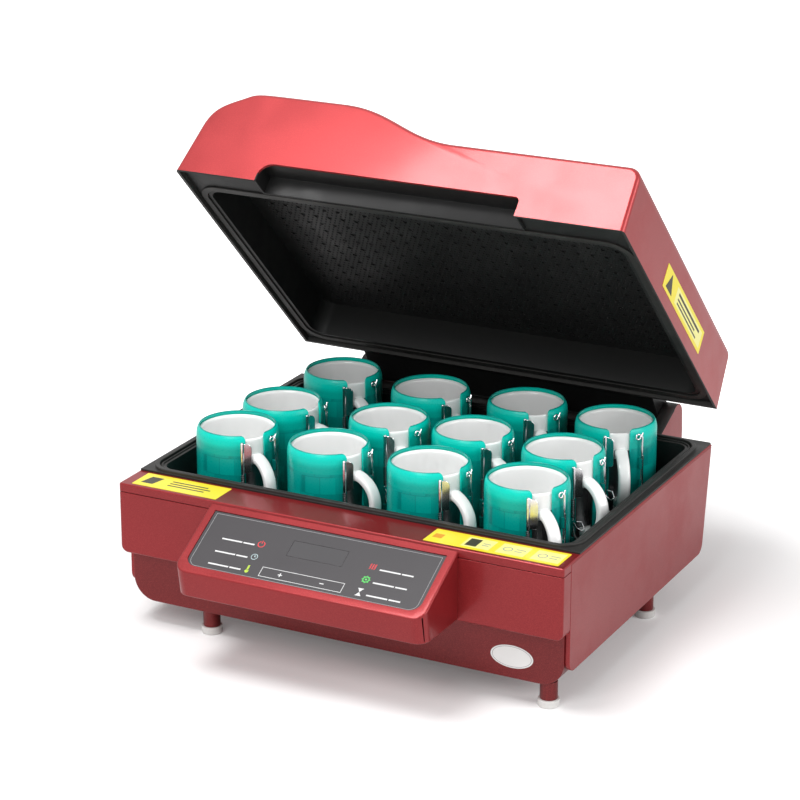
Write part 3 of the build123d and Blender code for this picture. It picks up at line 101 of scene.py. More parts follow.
def mixed(tree, factor, first, second, blend="MIX"):
    """The output of a colour mix. Each argument is a socket, a colour or a number."""
    node = add_node(tree, "ShaderNodeMix", data_type="RGBA", blend_type=blend)
    return fed_in_order(tree, node, (0, 6, 7), (factor, first, second)).outputs[2]


def ranged(tree, value, low, high, to_low, to_high, **settings):
    """A value spread from one range to another, held at its ends."""
    return add_node(
        tree, "ShaderNodeMapRange", Value=value, From_Min=low, From_Max=high,
        To_Min=to_low, To_Max=to_high, **settings,
    ).outputs["Result"]


def own_place(tree):
    """Where a point lies in its object's own measure."""
    return add_node(tree, "ShaderNodeTexCoord").outputs["Object"]


def noise(tree, vector, scale, detail=2.0):
    """A noise's value at a scale in waves to the metre."""
    return add_node(
        tree, "ShaderNodeTexNoise", Scale=scale, Detail=detail, Vector=vector
    ).outputs["Fac"]


def new_finish(name, roughness=0.5, metallic=0.0, coat=0.0, coat_roughness=0.08, specular=0.5):
    """A material, its node tree and its shader. What changes over the surface is fed later."""
    finish = bpy.data.materials.new(name)
    finish.use_nodes = True
    tree = finish.node_tree
    shader = feed(
        tree, tree.nodes["Principled BSDF"], Roughness=roughness, Metallic=metallic,
        Coat_Weight=coat, Coat_Roughness=coat_roughness, Specular_IOR_Level=specular,
    )
    return finish, tree, shader


paper_half = 4.0
paper_mesh = bpy.data.meshes.new("paper")
paper_mesh.from_pydata(
    [
        (side_x * paper_half, side_y * paper_half, 0)
        for side_x, side_y in ((-1, -1), (1, -1), (1, 1), (-1, 1))
    ],
    [], [(0, 1, 2, 3)],
)
paper = bpy.data.objects.new("paper", paper_mesh)
scene.collection.objects.link(paper)
paper_finish, tree, shader = new_finish("paper", roughness=0.9)
grain = add_node(tree, "ShaderNodeTexNoise", Scale=40.0)
shade = add_node(tree, "ShaderNodeValToRGB", Fac=grain.outputs["Fac"])
shade.color_ramp.elements[0].color = (0.88, 0.88, 0.88, 1)
shade.color_ramp.elements[1].color = (0.92, 0.92, 0.92, 1)
away = add_node(tree, "ShaderNodeVectorMath", operation="LENGTH", Vector=own_place(tree))
sweep = ranged(
    tree, away.outputs["Value"], 0.3, 1.0, 0.12, 1.0, interpolation_type="SMOOTHSTEP"
)
camera_ray = add_node(tree, "ShaderNodeLightPath").outputs["Is Camera Ray"]
feed(
    tree, shader, Base_Color=shade.outputs["Color"], Emission_Color=(1, 1, 1, 1),
    Emission_Strength=worked(tree, "MULTIPLY", sweep, camera_ray),
)
paper_mesh.materials.append(paper_finish)

world = bpy.data.worlds.new("studio")
scene.world = world
world.use_nodes = True
tree = world.node_tree
ambient = 0.34
path = add_node(tree, "ShaderNodeLightPath").outputs
seen = worked(tree, "MAXIMUM", path["Is Camera Ray"], path["Is Glossy Ray"])
seen = worked(tree, "MAXIMUM", seen, path["Is Transmission Ray"])
feed(
    tree, tree.nodes["Background"], Color=(1, 1, 1, 1),
    Strength=ranged(tree, seen, 0.0, 1.0, ambient, 1.0),
)

lamps = (
    ("overhead", (-0.42, -0.72, 2.2), 0.95, 34.0),
    ("front", (0.1, -2.4, 2.1), 1.3, 30.0),
    ("right", (3.0, 0.0, 1.6), 1.8, 44.0),
)
for name, place, side, power in lamps:
    lamp_data = bpy.data.lights.new(name, "AREA")
    lamp_data.size = side
    lamp_data.energy = power
    lamp = bpy.data.objects.new(name, lamp_data)
    lamp.location = place
    aim = Vector((0, 0, 0.2)) - Vector(place)
    lamp.rotation_euler = aim.to_track_quat("-Z", "Y").to_euler()
    scene.collection.objects.link(lamp)


# ------------------------------------------------------------------ painted sheet metal
# The casing, console, hinge block and lid are folded steel, sprayed wine red with a fine metal
# flake under a clear coat. Their folds are eased so that the edges catch the light.
def new_effect(name, inputs, outputs, kind="ShaderNodeTree"):
    """A node group with named sockets, and its input and output nodes."""
    group = bpy.data.node_groups.new(name, kind)
    for label, sort, value in inputs:
        socket = group.interface.new_socket(
            label, in_out="INPUT", socket_type="NodeSocket" + sort
        )
        if value is not None:
            socket.default_value = value
    for label, sort in outputs:
        group.interface.new_socket(label, in_out="OUTPUT", socket_type="NodeSocket" + sort)
    return group, group.nodes.new("NodeGroupInput").outputs, group.nodes.new("NodeGroupOutput")


finish_outputs = [("Color", "Color"), ("Roughness", "Float"), ("Height", "Float")]
flake_paint, enter, leave = new_effect(
    "flake paint",
    [
        ("Color", "Color", (0.5, 0.02, 0.03, 1)),
        ("Deep color", "Color", (0.3, 0.01, 0.02, 1)),
        ("Roughness", "Float", 0.3),
    ],
    finish_outputs,
)
where = own_place(flake_paint)
cloud = ranged(flake_paint, noise(flake_paint, where, 5.0), 0.35, 0.65, 0.0, 0.5)
body_colour = mixed(flake_paint, cloud, enter["Color"], enter["Deep color"])
flake = ranged(flake_paint, noise(flake_paint, where, 1400.0), 0.45, 0.75, 0.0, 0.16)
handled = ranged(flake_paint, noise(flake_paint, where, 22.0, 4.0), 0.4, 0.7, 0.0, 0.12)
feed(
    flake_paint, leave, Color=mixed(flake_paint, flake, body_colour, (0.9, 0.12, 0.1, 1)),
    Roughness=worked(flake_paint, "ADD", enter["Roughness"], handled),
    Height=noise(flake_paint, where, 260.0),
)


def relief(tree, shader, height, strength, distance):
    """Raises the surface a little where the height says."""
    bump = add_node(
        tree, "ShaderNodeBump", Strength=strength, Distance=distance, Height=height
    )
    feed(tree, shader, Normal=bump.outputs["Normal"])


def use_effect(tree, shader, group, bump=0.0, bump_distance=0.0002, **values):
    """Places a group in a material and links what it puts out to the shader."""
    effect = add_node(tree, "ShaderNodeGroup", node_tree=group, **values).outputs
    feed(tree, shader, Base_Color=effect["Color"], Roughness=effect["Roughness"])
    relief(tree, shader, effect["Height"], bump, bump_distance)


def painted(name, colour, deep, coat=0.25):
    """Wine red flake paint of one shade under its clear coat."""
    finish, tree, shader = new_finish(
        name, metallic=0.45, coat=coat, coat_roughness=0.1, specular=0.35
    )
    use_effect(
        tree, shader, flake_paint, bump=0.06, Color=colour, Deep_color=deep, Roughness=0.3
    )
    return finish


red_paint = painted("wine_red_paint", (0.26, 0.012, 0.016, 1), (0.21, 0.01, 0.013, 1))
# The lid takes a lighter copy of the same wine red paint. This is painted light, for the lamps that fall on
# its sloped face.
lit_lid_paint = painted("wine_red_paint_painted_lit", (0.36, 0.022, 0.026, 1), (0.31, 0.018, 0.021, 1), coat=0.5)
# The lower casing, rear panel and foot posts take a darker copy of the same wine red paint. This is painted
# shade, for their place under the fascia, at the back and under the machine.
shaded_red_paint = painted("wine_red_paint_painted_shade", (0.15, 0.008, 0.01, 1), (0.115, 0.006, 0.008, 1))


def merged(node):
    """A copy of a node's mesh as one closed skin, with its flat faces whole again."""
    form = bmesh.new()
    form.from_mesh(nodes[node].data)
    bmesh.ops.remove_doubles(form, verts=form.verts, dist=2e-6)
    bmesh.ops.dissolve_limit(form, angle_limit=radians(0.5), verts=form.verts, edges=form.edges)
    return form


def new_piece(name, form, finish, body, smooth_below=35.0):
    """A finished object from a bmesh, which rides on a body and takes its finish from a slot."""
    mesh = bpy.data.meshes.new(name)
    form.to_mesh(mesh)
    form.free()
    mesh.materials.append(finish)
    mesh.polygons.foreach_set("use_smooth", [True] * len(mesh.polygons))
    mesh.set_sharp_from_angle(angle=radians(smooth_below))
    piece = bpy.data.objects.new(name, mesh)
    scene.collection.objects.link(piece)
    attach(piece, body)
    return piece


def closed_piece(name, form, finish, body, smooth_below=35.0):
    """A finished object from closed skins, with all their faces turned outward."""
    bmesh.ops.recalc_face_normals(form, faces=form.faces)
    return new_piece(name, form, finish, body, smooth_below)


def settle(piece):
    """Applies a piece's modifiers to its mesh."""
    seen_by = bpy.context.evaluated_depsgraph_get()
    baked = bpy.data.meshes.new_from_object(piece.evaluated_get(seen_by))
    piece.modifiers.clear()
    piece.data = baked
    return piece


def eased(node, finish, body, width=0.0006, segments=2, smooth_below=32.0):
    """The node's own form with its sharp edges eased. It stands for the node."""
    piece = new_piece(node + "_eased", merged(node), finish, body, smooth_below)
    ease = piece.modifiers.new("eased edges", "BEVEL")
    ease.width = width
    ease.segments = segments
    ease.limit_method = "ANGLE"
    ease.angle_limit = radians(smooth_below)
    ease.harden_normals = True
    ease.miter_outer = "MITER_ARC"
    settle(piece)
    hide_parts(node)
    return piece


# The lower casing, rear panel and foot posts wear the darker copy of the paint, as painted shade.
eased("lower_casing", shaded_red_paint, "base", width=0.0008)
eased("front_fascia", red_paint, "base", width=0.0008)
for node in ("top_frame", "side_panel_left", "side_panel_right"):
    eased(node, red_paint, "base")
eased("rear_panel", shaded_red_paint, "base", width=0.0004)
eased("console_housing", red_paint, "base", width=0.0003)
eased("hinge_housing", red_paint, "base", width=0.0008)
eased("foot_posts", shaded_red_paint, "base")
# The lid wears the lighter copy of the paint, as painted light.
eased("lid_shell", lit_lid_paint, "lid", width=0.0009)

# ------------------------------------------------------------------ feet
# Four turned pads of pale hard rubber, pressed on painted steel posts.
fine_grain, enter, leave = new_effect(
    "fine grain",
    [
        ("Color", "Color", (0.05, 0.05, 0.05, 1)),
        ("Worn color", "Color", (0.1, 0.1, 0.1, 1)),
        ("Roughness", "Float", 0.5),
        ("Grain", "Float", 900.0),
        ("Wear", "Float", 0.3),
    ],
    finish_outputs,
)
where = own_place(fine_grain)
rubbed = ranged(fine_grain, noise(fine_grain, where, 28.0, 5.0), 0.45, 0.72, 0.0, 1.0)
rub_amount = worked(fine_grain, "MULTIPLY", rubbed, enter["Wear"])
feed(
    fine_grain, leave,
    Color=mixed(fine_grain, rub_amount, enter["Color"], enter["Worn color"]),
    Roughness=worked(fine_grain, "MULTIPLY_ADD", rubbed, -0.1, enter["Roughness"]),
    Height=noise(fine_grain, where, enter["Grain"], 3.0),
)


def moulded(name, colour, worn, roughness, grain=900.0, wear=0.3, bump=0.12, coat=0.0, specular=0.5):
    """A moulded, cast or coated finish with a fine grain, a little rubbed in places."""
    finish, tree, shader = new_finish(name, coat=coat, specular=specular)
    use_effect(
        tree, shader, fine_grain, bump=bump,
        Color=colour, Worn_color=worn, Roughness=roughness, Grain=grain, Wear=wear,
    )
    return finish


pale_rubber = moulded("pale_rubber", (0.72, 0.71, 0.69, 1), (0.5, 0.48, 0.46, 1), 0.6)
eased("foot_pads", pale_rubber, "base", width=0.0005)

# ------------------------------------------------------------------ tray and its rim
# A deep drawn tray with a dark non-stick coat hangs in the casing. A black silicone frame with a
# raised double bead lies round its mouth, and the lid's seal shuts on it.
black_rubber = moulded(
    "black_rubber", (0.022, 0.021, 0.02, 1), (0.05, 0.048, 0.045, 1), 0.5,
    grain=700.0, specular=0.25,
)
tray_coat = moulded(
    "tray_coat", (0.016, 0.016, 0.016, 1), (0.04, 0.04, 0.038, 1), 0.42,
    grain=1500.0, specular=0.35,
)
eased("rim_gasket", black_rubber, "base", width=0.0005)
for node in ("tray", "tray_floor_plate"):
    nodes[node].data.materials.clear()
    nodes[node].data.materials.append(tray_coat)

rim_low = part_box("rim_gasket")[0]
bead_half = Vector((0.2365, 0.1605))
bead_centre = Vector((0.0, 0.0245))
bead_radius = 0.0013
bead_corner = 0.019
bead_rise = 0.0022
upright = Vector((0, 0, 1))
sideways = Vector((1, 0, 0))


def rounded_loop(half_x, half_y, corner, steps=8):
    """Points round a rectangle with round corners, anticlockwise."""
    points = []
    for turn, (side_x, side_y) in enumerate(((1, 1), (-1, 1), (-1, -1), (1, -1))):
        for step in range(steps + 1):
            angle = (turn + step / steps) * pi / 2
            points.append((
                side_x * (half_x - corner) + corner * cos(angle),
                side_y * (half_y - corner) + corner * sin(angle),
            ))
    return points


def around(step, steps, radius=1.0):
    """A point of a circle, at a step of so many round it."""
    return radius * cos(2 * pi * step / steps), radius * sin(2 * pi * step / steps)


def tube(form, path, radius, closed=False, sides=10, up=upright):
    """Adds a round bar along a path of points to a bmesh, with closed ends."""
    rings = []
    count = len(path)
    for index, point in enumerate(path):
        before = path[index - 1] if closed or index else path[index]
        after = path[(index + 1) % count] if closed or index < count - 1 else path[index]
        ahead = (Vector(after) - Vector(before)).normalized()
        across = ahead.cross(up)
        if across.length < 1e-4:
            across = ahead.cross(Vector((0, 1, 0)))
        across.normalize()
        over = across.cross(ahead)
        spokes = [around(k, sides) for k in range(sides)]
        rings.append([
            form.verts.new(Vector(point) + radius * (x * across + y * over)) for x, y in spokes
        ])
    for index in range(count if closed else count - 1):
        ring, following = rings[index], rings[(index + 1) % count]
        for k in range(sides):
            form.faces.new((ring[k], ring[(k + 1) % sides], following[(k + 1) % sides], following[k]))
    if not closed:
        form.faces.new(list(reversed(rings[0])))
        form.faces.new(rings[-1])


form = bmesh.new()
bead_loop = rounded_loop(bead_half.x, bead_half.y, bead_corner)
bead_path = [(bead_centre.x + x, bead_centre.y + y, rim_low.z + bead_rise) for x, y in bead_loop]
tube(form, bead_path, bead_radius, closed=True)
closed_piece("rim_inner_bead", form, black_rubber, "base")

# ------------------------------------------------------------------ console
# A sloped housing on the front carries a printed film over its keys: plain generic signs, with a
# line beside each, a bar with plus and minus, and a smoked window for the readout.


def on_plane(origin, across, up):
    """A matrix that lays flat shapes on a plane: x across it, y up it and z out of it."""
    out = across.cross(up)
    place = Matrix((across, up, out)).transposed().to_4x4()
    place.translation = origin
    return place


def flat_ring(outer, inner, centre=(0, 0), start=0.0, sweep=360.0, steps=32):
    """A flat ring, or an arc of one, as quads. Sizes are in millimetres."""
    quads = []
    for step in range(steps):
        first = radians(start + sweep * step / steps)
        second = radians(start + sweep * (step + 1) / steps)
        quads.append([
            (centre[0] + outer * cos(first), centre[1] + outer * sin(first)),
            (centre[0] + outer * cos(second), centre[1] + outer * sin(second)),
            (centre[0] + inner * cos(second), centre[1] + inner * sin(second)),
            (centre[0] + inner * cos(first), centre[1] + inner * sin(first)),
        ])
    return quads


def flat_disc(radius, centre=(0, 0), stretch=1.0, steps=28):
    """A flat disc or ellipse."""
    spokes = [around(k, steps, radius) for k in range(steps)]
    return [[(centre[0] + x, centre[1] + stretch * y) for x, y in spokes]]


def flat_bar(left, low, right, high):
    """A flat rectangle."""
    return [[(left, low), (right, low), (right, high), (left, high)]]


def printed(name, plane, shapes, finish, body, thickness=0.05):
    """Shapes in millimetres, printed on a plane as one thin closed piece."""
    form = bmesh.new()
    for shape in shapes:
        lower = [form.verts.new(plane @ Vector((x / 1000, y / 1000, 0))) for x, y in shape]
        upper = [
            form.verts.new(plane @ (Vector((x, y, thickness)) / 1000)) for x, y in shape
        ]
        form.faces.new(list(reversed(lower)))
        form.faces.new(upper)
        for k in range(len(shape)):
            after = (k + 1) % len(shape)
            form.faces.new((lower[k], lower[after], upper[after], upper[k]))
    return new_piece(name, form, finish, body)


grey_film = moulded(
    "grey_film", (0.05, 0.046, 0.05, 1), (0.064, 0.06, 0.064, 1), 0.4,
    grain=2600.0, bump=0.08, specular=0.35,
)
eased("panel_overlay", grey_film, "base", width=0.00015)
smoked, tree, shader = new_finish("smoked_window", roughness=0.12, coat=0.8)
use_effect(
    tree, shader, fine_grain, bump=0.02, Color=(0.045, 0.042, 0.046, 1),
    Worn_color=(0.055, 0.052, 0.056, 1), Roughness=0.14, Grain=400.0, Wear=0.4,
)
eased("display_window", smoked, "base", width=0.0002)

film_sheet = nodes["panel_overlay"].data
film_top = max(
    (face for face in film_sheet.polygons if face.normal.z > 0.3 and face.normal.y < -0.1),
    key=lambda face: face.area,
)
film_out = film_top.normal.copy()
film_up = film_out.cross(Vector((1, 0, 0)))
film_centre = sum(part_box("panel_overlay"), Vector()) / 2
film_centre += film_out * film_out.dot(film_sheet.vertices[film_top.vertices[0]].co - film_centre)
film_plane = on_plane(film_centre, Vector((1, 0, 0)), film_up)


def ink(name, colour):
    """Screen ink, a little uneven and matt."""
    thin = tuple(0.85 * part for part in colour[:3]) + (1,)
    return moulded(name, colour, thin, 0.5, grain=3000.0, bump=0.03)


white_ink = ink("white_ink", (0.72, 0.72, 0.72, 1))
grey_ink = ink("grey_ink", (0.34, 0.34, 0.35, 1))
red_ink = ink("red_ink", (0.75, 0.03, 0.04, 1))
green_ink = ink("green_ink", (0.1, 0.62, 0.12, 1))
lime_ink = ink("lime_ink", (0.45, 0.62, 0.05, 1))
blue_ink = ink("blue_ink", (0.45, 0.58, 0.6, 1))



def on_film(name, shapes, finish):
    """Shapes printed on the console's film."""
    return printed(name, film_plane, shapes, finish, "base")


left_sign_x, right_sign_x = -62.5, 62.5
row_heights = (6.5, -10.0, -26.0)
line_length, line_height, line_drop = 37.0, 1.7, 2.2
lines = []
for row in row_heights:
    line_low = row - line_drop - line_height / 2
    line_high = row - line_drop + line_height / 2
    for start in (-106.5, 71.0):
        lines += flat_bar(start, line_low, start + line_length * 0.62, line_high)
        lines += flat_bar(start + line_length * 0.66, line_low, start + line_length, line_high)
on_film("key_lines", lines, white_ink)
power_sign = flat_ring(4.0, 3.1, (left_sign_x, row_heights[0]), 115, 310) + flat_bar(
    left_sign_x - 0.45, row_heights[0] + 1.0, left_sign_x + 0.45, row_heights[0] + 4.6)
on_film("power_sign", power_sign, red_ink)
clock_sign = flat_ring(3.7, 3.0, (left_sign_x, row_heights[1])) + flat_bar(
    left_sign_x - 0.35, row_heights[1], left_sign_x + 0.35, row_heights[1] + 2.4) + flat_bar(
    left_sign_x, row_heights[1] - 0.35, left_sign_x + 1.8, row_heights[1] + 0.35)
on_film("clock_sign", clock_sign, blue_ink)
heat_level_sign = flat_disc(2.1, (left_sign_x, row_heights[2] - 2.6)) + flat_bar(
    left_sign_x - 1.0, row_heights[2] - 1.6, left_sign_x + 1.0, row_heights[2] + 4.8)
on_film("heat_level_sign", heat_level_sign, lime_ink)
hot_sign = []
for column in (-2.6, 0.0, 2.6):
    for turn in range(6):
        hot_sign += flat_bar(
            right_sign_x + column - 0.5 + 0.5 * (turn % 2), row_heights[0] - 3.3 + turn * 1.1,
            right_sign_x + column + 0.5 + 0.5 * (turn % 2), row_heights[0] - 2.1 + turn * 1.1,
        )
on_film("hot_sign", hot_sign, red_ink)
suction_place = (right_sign_x, row_heights[1])
suction_sign = flat_ring(3.8, 2.6, suction_place) + flat_disc(1.2, suction_place)
for spoke in range(8):
    angle = radians(45 * spoke)
    middle = (right_sign_x + 4.0 * cos(angle), row_heights[1] + 4.0 * sin(angle))
    suction_sign += flat_disc(0.7, middle, steps=8)
on_film("suction_sign", suction_sign, green_ink)
glass_x, glass_y = right_sign_x, row_heights[2]
glass_sign = [
    [(glass_x - 2.6, glass_y + 4.0), (glass_x, glass_y), (glass_x + 2.6, glass_y + 4.0)],
    [(glass_x - 2.6, glass_y - 4.0), (glass_x + 2.6, glass_y - 4.0), (glass_x, glass_y)],
]
glass_sign += flat_bar(glass_x - 3.2, glass_y + 4.0, glass_x + 3.2, glass_y + 4.7)
glass_sign += flat_bar(glass_x - 3.2, glass_y - 4.7, glass_x + 3.2, glass_y - 4.0)
on_film("glass_sign", glass_sign, white_ink)

bar_left, bar_right, bar_low, bar_high, bar_line = -48.0, 44.0, -31.5, -19.5, 0.6
level_bar = (
    flat_bar(bar_left, bar_low, bar_right, bar_low + bar_line)
    + flat_bar(bar_left, bar_high - bar_line, bar_right, bar_high)
    + flat_bar(bar_left, bar_low + bar_line, bar_left + bar_line, bar_high - bar_line)
    + flat_bar(bar_right - bar_line, bar_low + bar_line, bar_right, bar_high - bar_line)
)
level_middle = (bar_low + bar_high) / 2
plus_x, minus_x, sign_half, sign_line = -26.0, 20.5, 2.3, 0.55
for middle_x, half, low, high in (
    (plus_x, sign_half, -sign_line, sign_line),
    (plus_x, sign_line, sign_line, sign_half),
    (plus_x, sign_line, -sign_half, -sign_line),
    (minus_x, sign_half, -sign_line, sign_line),
):
    level_bar += flat_bar(middle_x - half, level_middle + low, middle_x + half, level_middle + high)
on_film("level_bar", level_bar, white_ink)
film_edge_x, film_edge_low, film_edge_high = 127.0, -35.0, 33.5
film_edge = (
    flat_bar(-film_edge_x + 9, film_edge_low, film_edge_x - 9, film_edge_low + 0.45)
    + flat_bar(-film_edge_x, film_edge_high - 0.45, film_edge_x, film_edge_high)
    + flat_bar(-film_edge_x, film_edge_low + 9, -film_edge_x + 0.45, film_edge_high - 0.45)
    + flat_bar(film_edge_x - 0.45, film_edge_low + 9, film_edge_x, film_edge_high - 0.45)
    + flat_ring(9.0, 8.55, (-film_edge_x + 9, film_edge_low + 9), 180, 90, 8)
    + flat_ring(9.0, 8.55, (film_edge_x - 9, film_edge_low + 9), 270, 90, 8)
)
on_film("film_edge", film_edge, grey_ink)

# ------------------------------------------------------------------ mugs
# Twelve cast mugs with a gloss white glaze under a clear print coat. Each has a strap handle that
# leaves the body below the rim, swells outward and comes back near the foot.
mug_places = [
    (-0.173, -0.099, -32), (-0.062, -0.103, -20), (0.053, -0.102, -28), (0.161, -0.100, -42),
    (-0.169, -0.010, -5), (-0.043, -0.005, -46), (0.052, 0.001, -30), (0.158, -0.006, -31),
    (-0.159, 0.107, -38), (-0.046, 0.098, -25), (0.065, 0.107, -46), (0.171, 0.100, -59),
]
tray_centre_y = bead_centre.y
mug_base_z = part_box("mugs")[0].z
mug_radius = 0.041


def mug_matrix(place):
    """Where a mug stands, turned to its handle's heading."""
    across, behind, heading = place
    spot = Matrix.Translation((across, tray_centre_y + behind, mug_base_z))
    return spot @ Matrix.Rotation(radians(heading), 4, "Z")


def lathe(form, profile, steps, place):
    """Adds a profile of (radius, height), from the foot's middle round to the inside's middle."""
    rings = []
    for radius, height in profile:
        if radius == 0:
            rings.append([form.verts.new(place @ Vector((0, 0, height)))])
        else:
            rings.append([
                form.verts.new(place @ Vector((*around(k, steps, radius), height)))
                for k in range(steps)
            ])
    for ring, following in zip(rings, rings[1:]):
        for k in range(steps):
            after = (k + 1) % steps
            if len(ring) == 1:
                form.faces.new((ring[0], following[after], following[k]))
            elif len(following) == 1:
                form.faces.new((ring[k], ring[after], following[0]))
            else:
                form.faces.new((ring[k], ring[after], following[after], following[k]))


mug_profile = [
    (0.0, 0.0025), (0.030, 0.0025), (0.0315, 0.0002), (0.0345, 0.0), (0.0375, 0.0012), (0.0396, 0.0038),
    (0.0408, 0.0075), (0.041, 0.012), (0.041, 0.045), (0.041, 0.0872), (0.0409, 0.0913), (0.0404, 0.0932),
    (0.0394, 0.0938), (0.0382, 0.0935), (0.0372, 0.0924), (0.0367, 0.0905), (0.0365, 0.087), (0.0364, 0.05),
    (0.0362, 0.014), (0.0350, 0.0095), (0.0315, 0.0068), (0.024, 0.006), (0.0, 0.006),
]
handle_line = [
    (0.0375, 0.0722), (0.0440, 0.0724), (0.0500, 0.0717), (0.0555, 0.0698), (0.0615, 0.0662), (0.0665, 0.0610),
    (0.0698, 0.0540), (0.0708, 0.0455), (0.0695, 0.0370), (0.0655, 0.0290), (0.0590, 0.0225), (0.0505, 0.0188),
    (0.0430, 0.0178), (0.0375, 0.0175),
]


def skin(form, rings):
    """Joins a row of rings of points into a closed skin with flat ends."""
    for ring, following in zip(rings, rings[1:]):
        for k in range(len(ring)):
            after = (k + 1) % len(ring)
            form.faces.new((ring[k], following[k], following[after], ring[after]))
    form.faces.new(rings[0])
    form.faces.new(list(reversed(rings[-1])))


def strap(form, line, place, half_width, half_thickness, sides=16):
    """Adds a flat strap with rounded edges along a line in the handle's plane, wider at the body."""
    rings = []
    for index, (reach, height) in enumerate(line):
        before = line[max(index - 1, 0)]
        after = line[min(index + 1, len(line) - 1)]
        ahead = Vector((after[0] - before[0], 0, after[1] - before[1])).normalized()
        outward = Vector((ahead.z, 0, -ahead.x))
        join = 1 + 0.16 * max(0.0, 1 - (reach - mug_radius) / 0.008)
        ring = []
        for k in range(sides):
            angle = 2 * pi * (k + 0.5) / sides
            wide = half_width * join * (abs(cos(angle)) ** 0.55) * (1 if cos(angle) > 0 else -1)
            thick = half_thickness * join * (abs(sin(angle)) ** 0.6) * (1 if sin(angle) > 0 else -1)
            corner = Vector((reach, 0, height)) + outward * thick + Vector((0, wide, 0))
            ring.append(form.verts.new(place @ corner))
        rings.append(ring)
    skin(form, rings)


white_glaze, tree, shader = new_finish("white_glaze", roughness=0.12, coat=0.5)
use_effect(
    tree, shader, fine_grain, bump=0.02,
    Color=(0.92, 0.92, 0.915, 1), Worn_color=(0.86, 0.86, 0.85, 1), Roughness=0.14, Grain=160.0, Wear=0.5,
)
form = bmesh.new()
for place in mug_places:
    lathe(form, mug_profile, 64, mug_matrix(place))
    strap(form, handle_line, mug_matrix(place), 0.0065, 0.0044)
mugs = closed_piece("glazed_mugs", form, white_glaze, "base", smooth_below=60.0)
smooth = mugs.modifiers.new("rounder", "SUBSURF")
smooth.levels = smooth.render_levels = 1
settle(mugs)
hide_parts("mugs")

# ------------------------------------------------------------------ mug wraps
# Each mug stands in a band of translucent teal silicone with a thin heating mat cast into it. The
# band's upper edge rolls in over the mug's rim, and knuckles at its two ends hold the clamp rods.
wrap_inner, wrap_outer = 0.0412, 0.0433
wrap_low, wrap_corner = 0.0050, 0.0045
wrap_start, wrap_end = 12.0, 343.0
rod_angles = (-22.0, 28.0)
rod_reach = 0.0462
knuckle_radius = 0.0027
outer_roll = (
    (0.0433, 0.0860), (0.0432, 0.0890), (0.0428, 0.0920), (0.0421, 0.0946), (0.0412, 0.0966), (0.0404, 0.0977),
    (0.0397, 0.0980),
)
inner_roll = ((0.0392, 0.0976), (0.0393, 0.0964), (0.0401, 0.0946), (0.0408, 0.0932), (0.0412, 0.0915))


def wrap_section(end_distance):
    """The band's outline as (radius, height) at a distance along it from its nearer end."""
    share = min(1.0, end_distance / wrap_corner)
    drop = wrap_corner * (1 - (1 - (1 - share) ** 2) ** 0.5)
    lean = share ** 0.5
    return [
        (wrap_inner + 0.0004, wrap_low), (wrap_outer - 0.0004, wrap_low), (wrap_outer, wrap_low + 0.0006),
        (wrap_outer, 0.030), (wrap_outer, 0.060),
        *((wrap_outer + lean * (radius - wrap_outer), height - drop) for radius, height in outer_roll),
        *((wrap_inner + lean * (radius - wrap_inner), height - drop) for radius, height in inner_roll),
        (wrap_inner, wrap_low + 0.0006),
    ]


corner_turn = wrap_corner / wrap_outer * 180 / pi
corner_turns = [corner_turn * (1 - cos(pi / 2 * k / 6)) for k in range(7)]
plain_steps = 76
wrap_turns = [wrap_start + turn for turn in corner_turns]
plain_sweep = wrap_end - wrap_start - 2 * corner_turn
wrap_turns += [
    wrap_start + corner_turn + plain_sweep * k / plain_steps for k in range(1, plain_steps)
]
wrap_turns += [wrap_end - turn for turn in reversed(corner_turns)]
wrap_knuckles = (
    (rod_angles[0], 0.0050, 0.0160), (rod_angles[0], 0.0250, 0.0350),
    (rod_angles[1], 0.0050, 0.0160), (rod_angles[1], 0.0290, 0.0420), (rod_angles[1], 0.0550, 0.0660),
)
form = bmesh.new()
uv_layer = form.loops.layers.uv.new("band")
for place in mug_places:
    stand = mug_matrix(place)
    rings = []
    for turn in wrap_turns:
        near_end = radians(min(turn - wrap_start, wrap_end - turn)) * wrap_outer
        section = wrap_section(near_end)
        angle = radians(turn)
        rings.append((
            [
                form.verts.new(stand @ Vector((radius * cos(angle), radius * sin(angle), height)))
                for radius, height in section
            ],
            [(angle * wrap_outer, height) for radius, height in section],
        ))
    for (ring, marks), (following, next_marks) in zip(rings, rings[1:]):
        for k in range(len(ring)):
            after = (k + 1) % len(ring)
            face = form.faces.new((ring[k], following[k], following[after], ring[after]))
            for loop, mark in zip(face.loops, (marks[k], next_marks[k], next_marks[after], marks[after])):
                loop[uv_layer].uv = mark
    for (ring, marks), order in ((rings[0], 1), (rings[-1], -1)):
        face = form.faces.new(ring[::order])
        for loop, mark in zip(face.loops, marks[::order]):
            loop[uv_layer].uv = mark
    for turn, low, high in wrap_knuckles:
        axis = Vector((cos(radians(turn)), sin(radians(turn)), 0)) * (rod_reach - 0.0006)
        heights = (low, low + 0.0008, high - 0.0008, high)
        knuckle = [stand @ (axis + upright * z) for z in heights]
        tube(form, knuckle, knuckle_radius, sides=12, up=sideways)

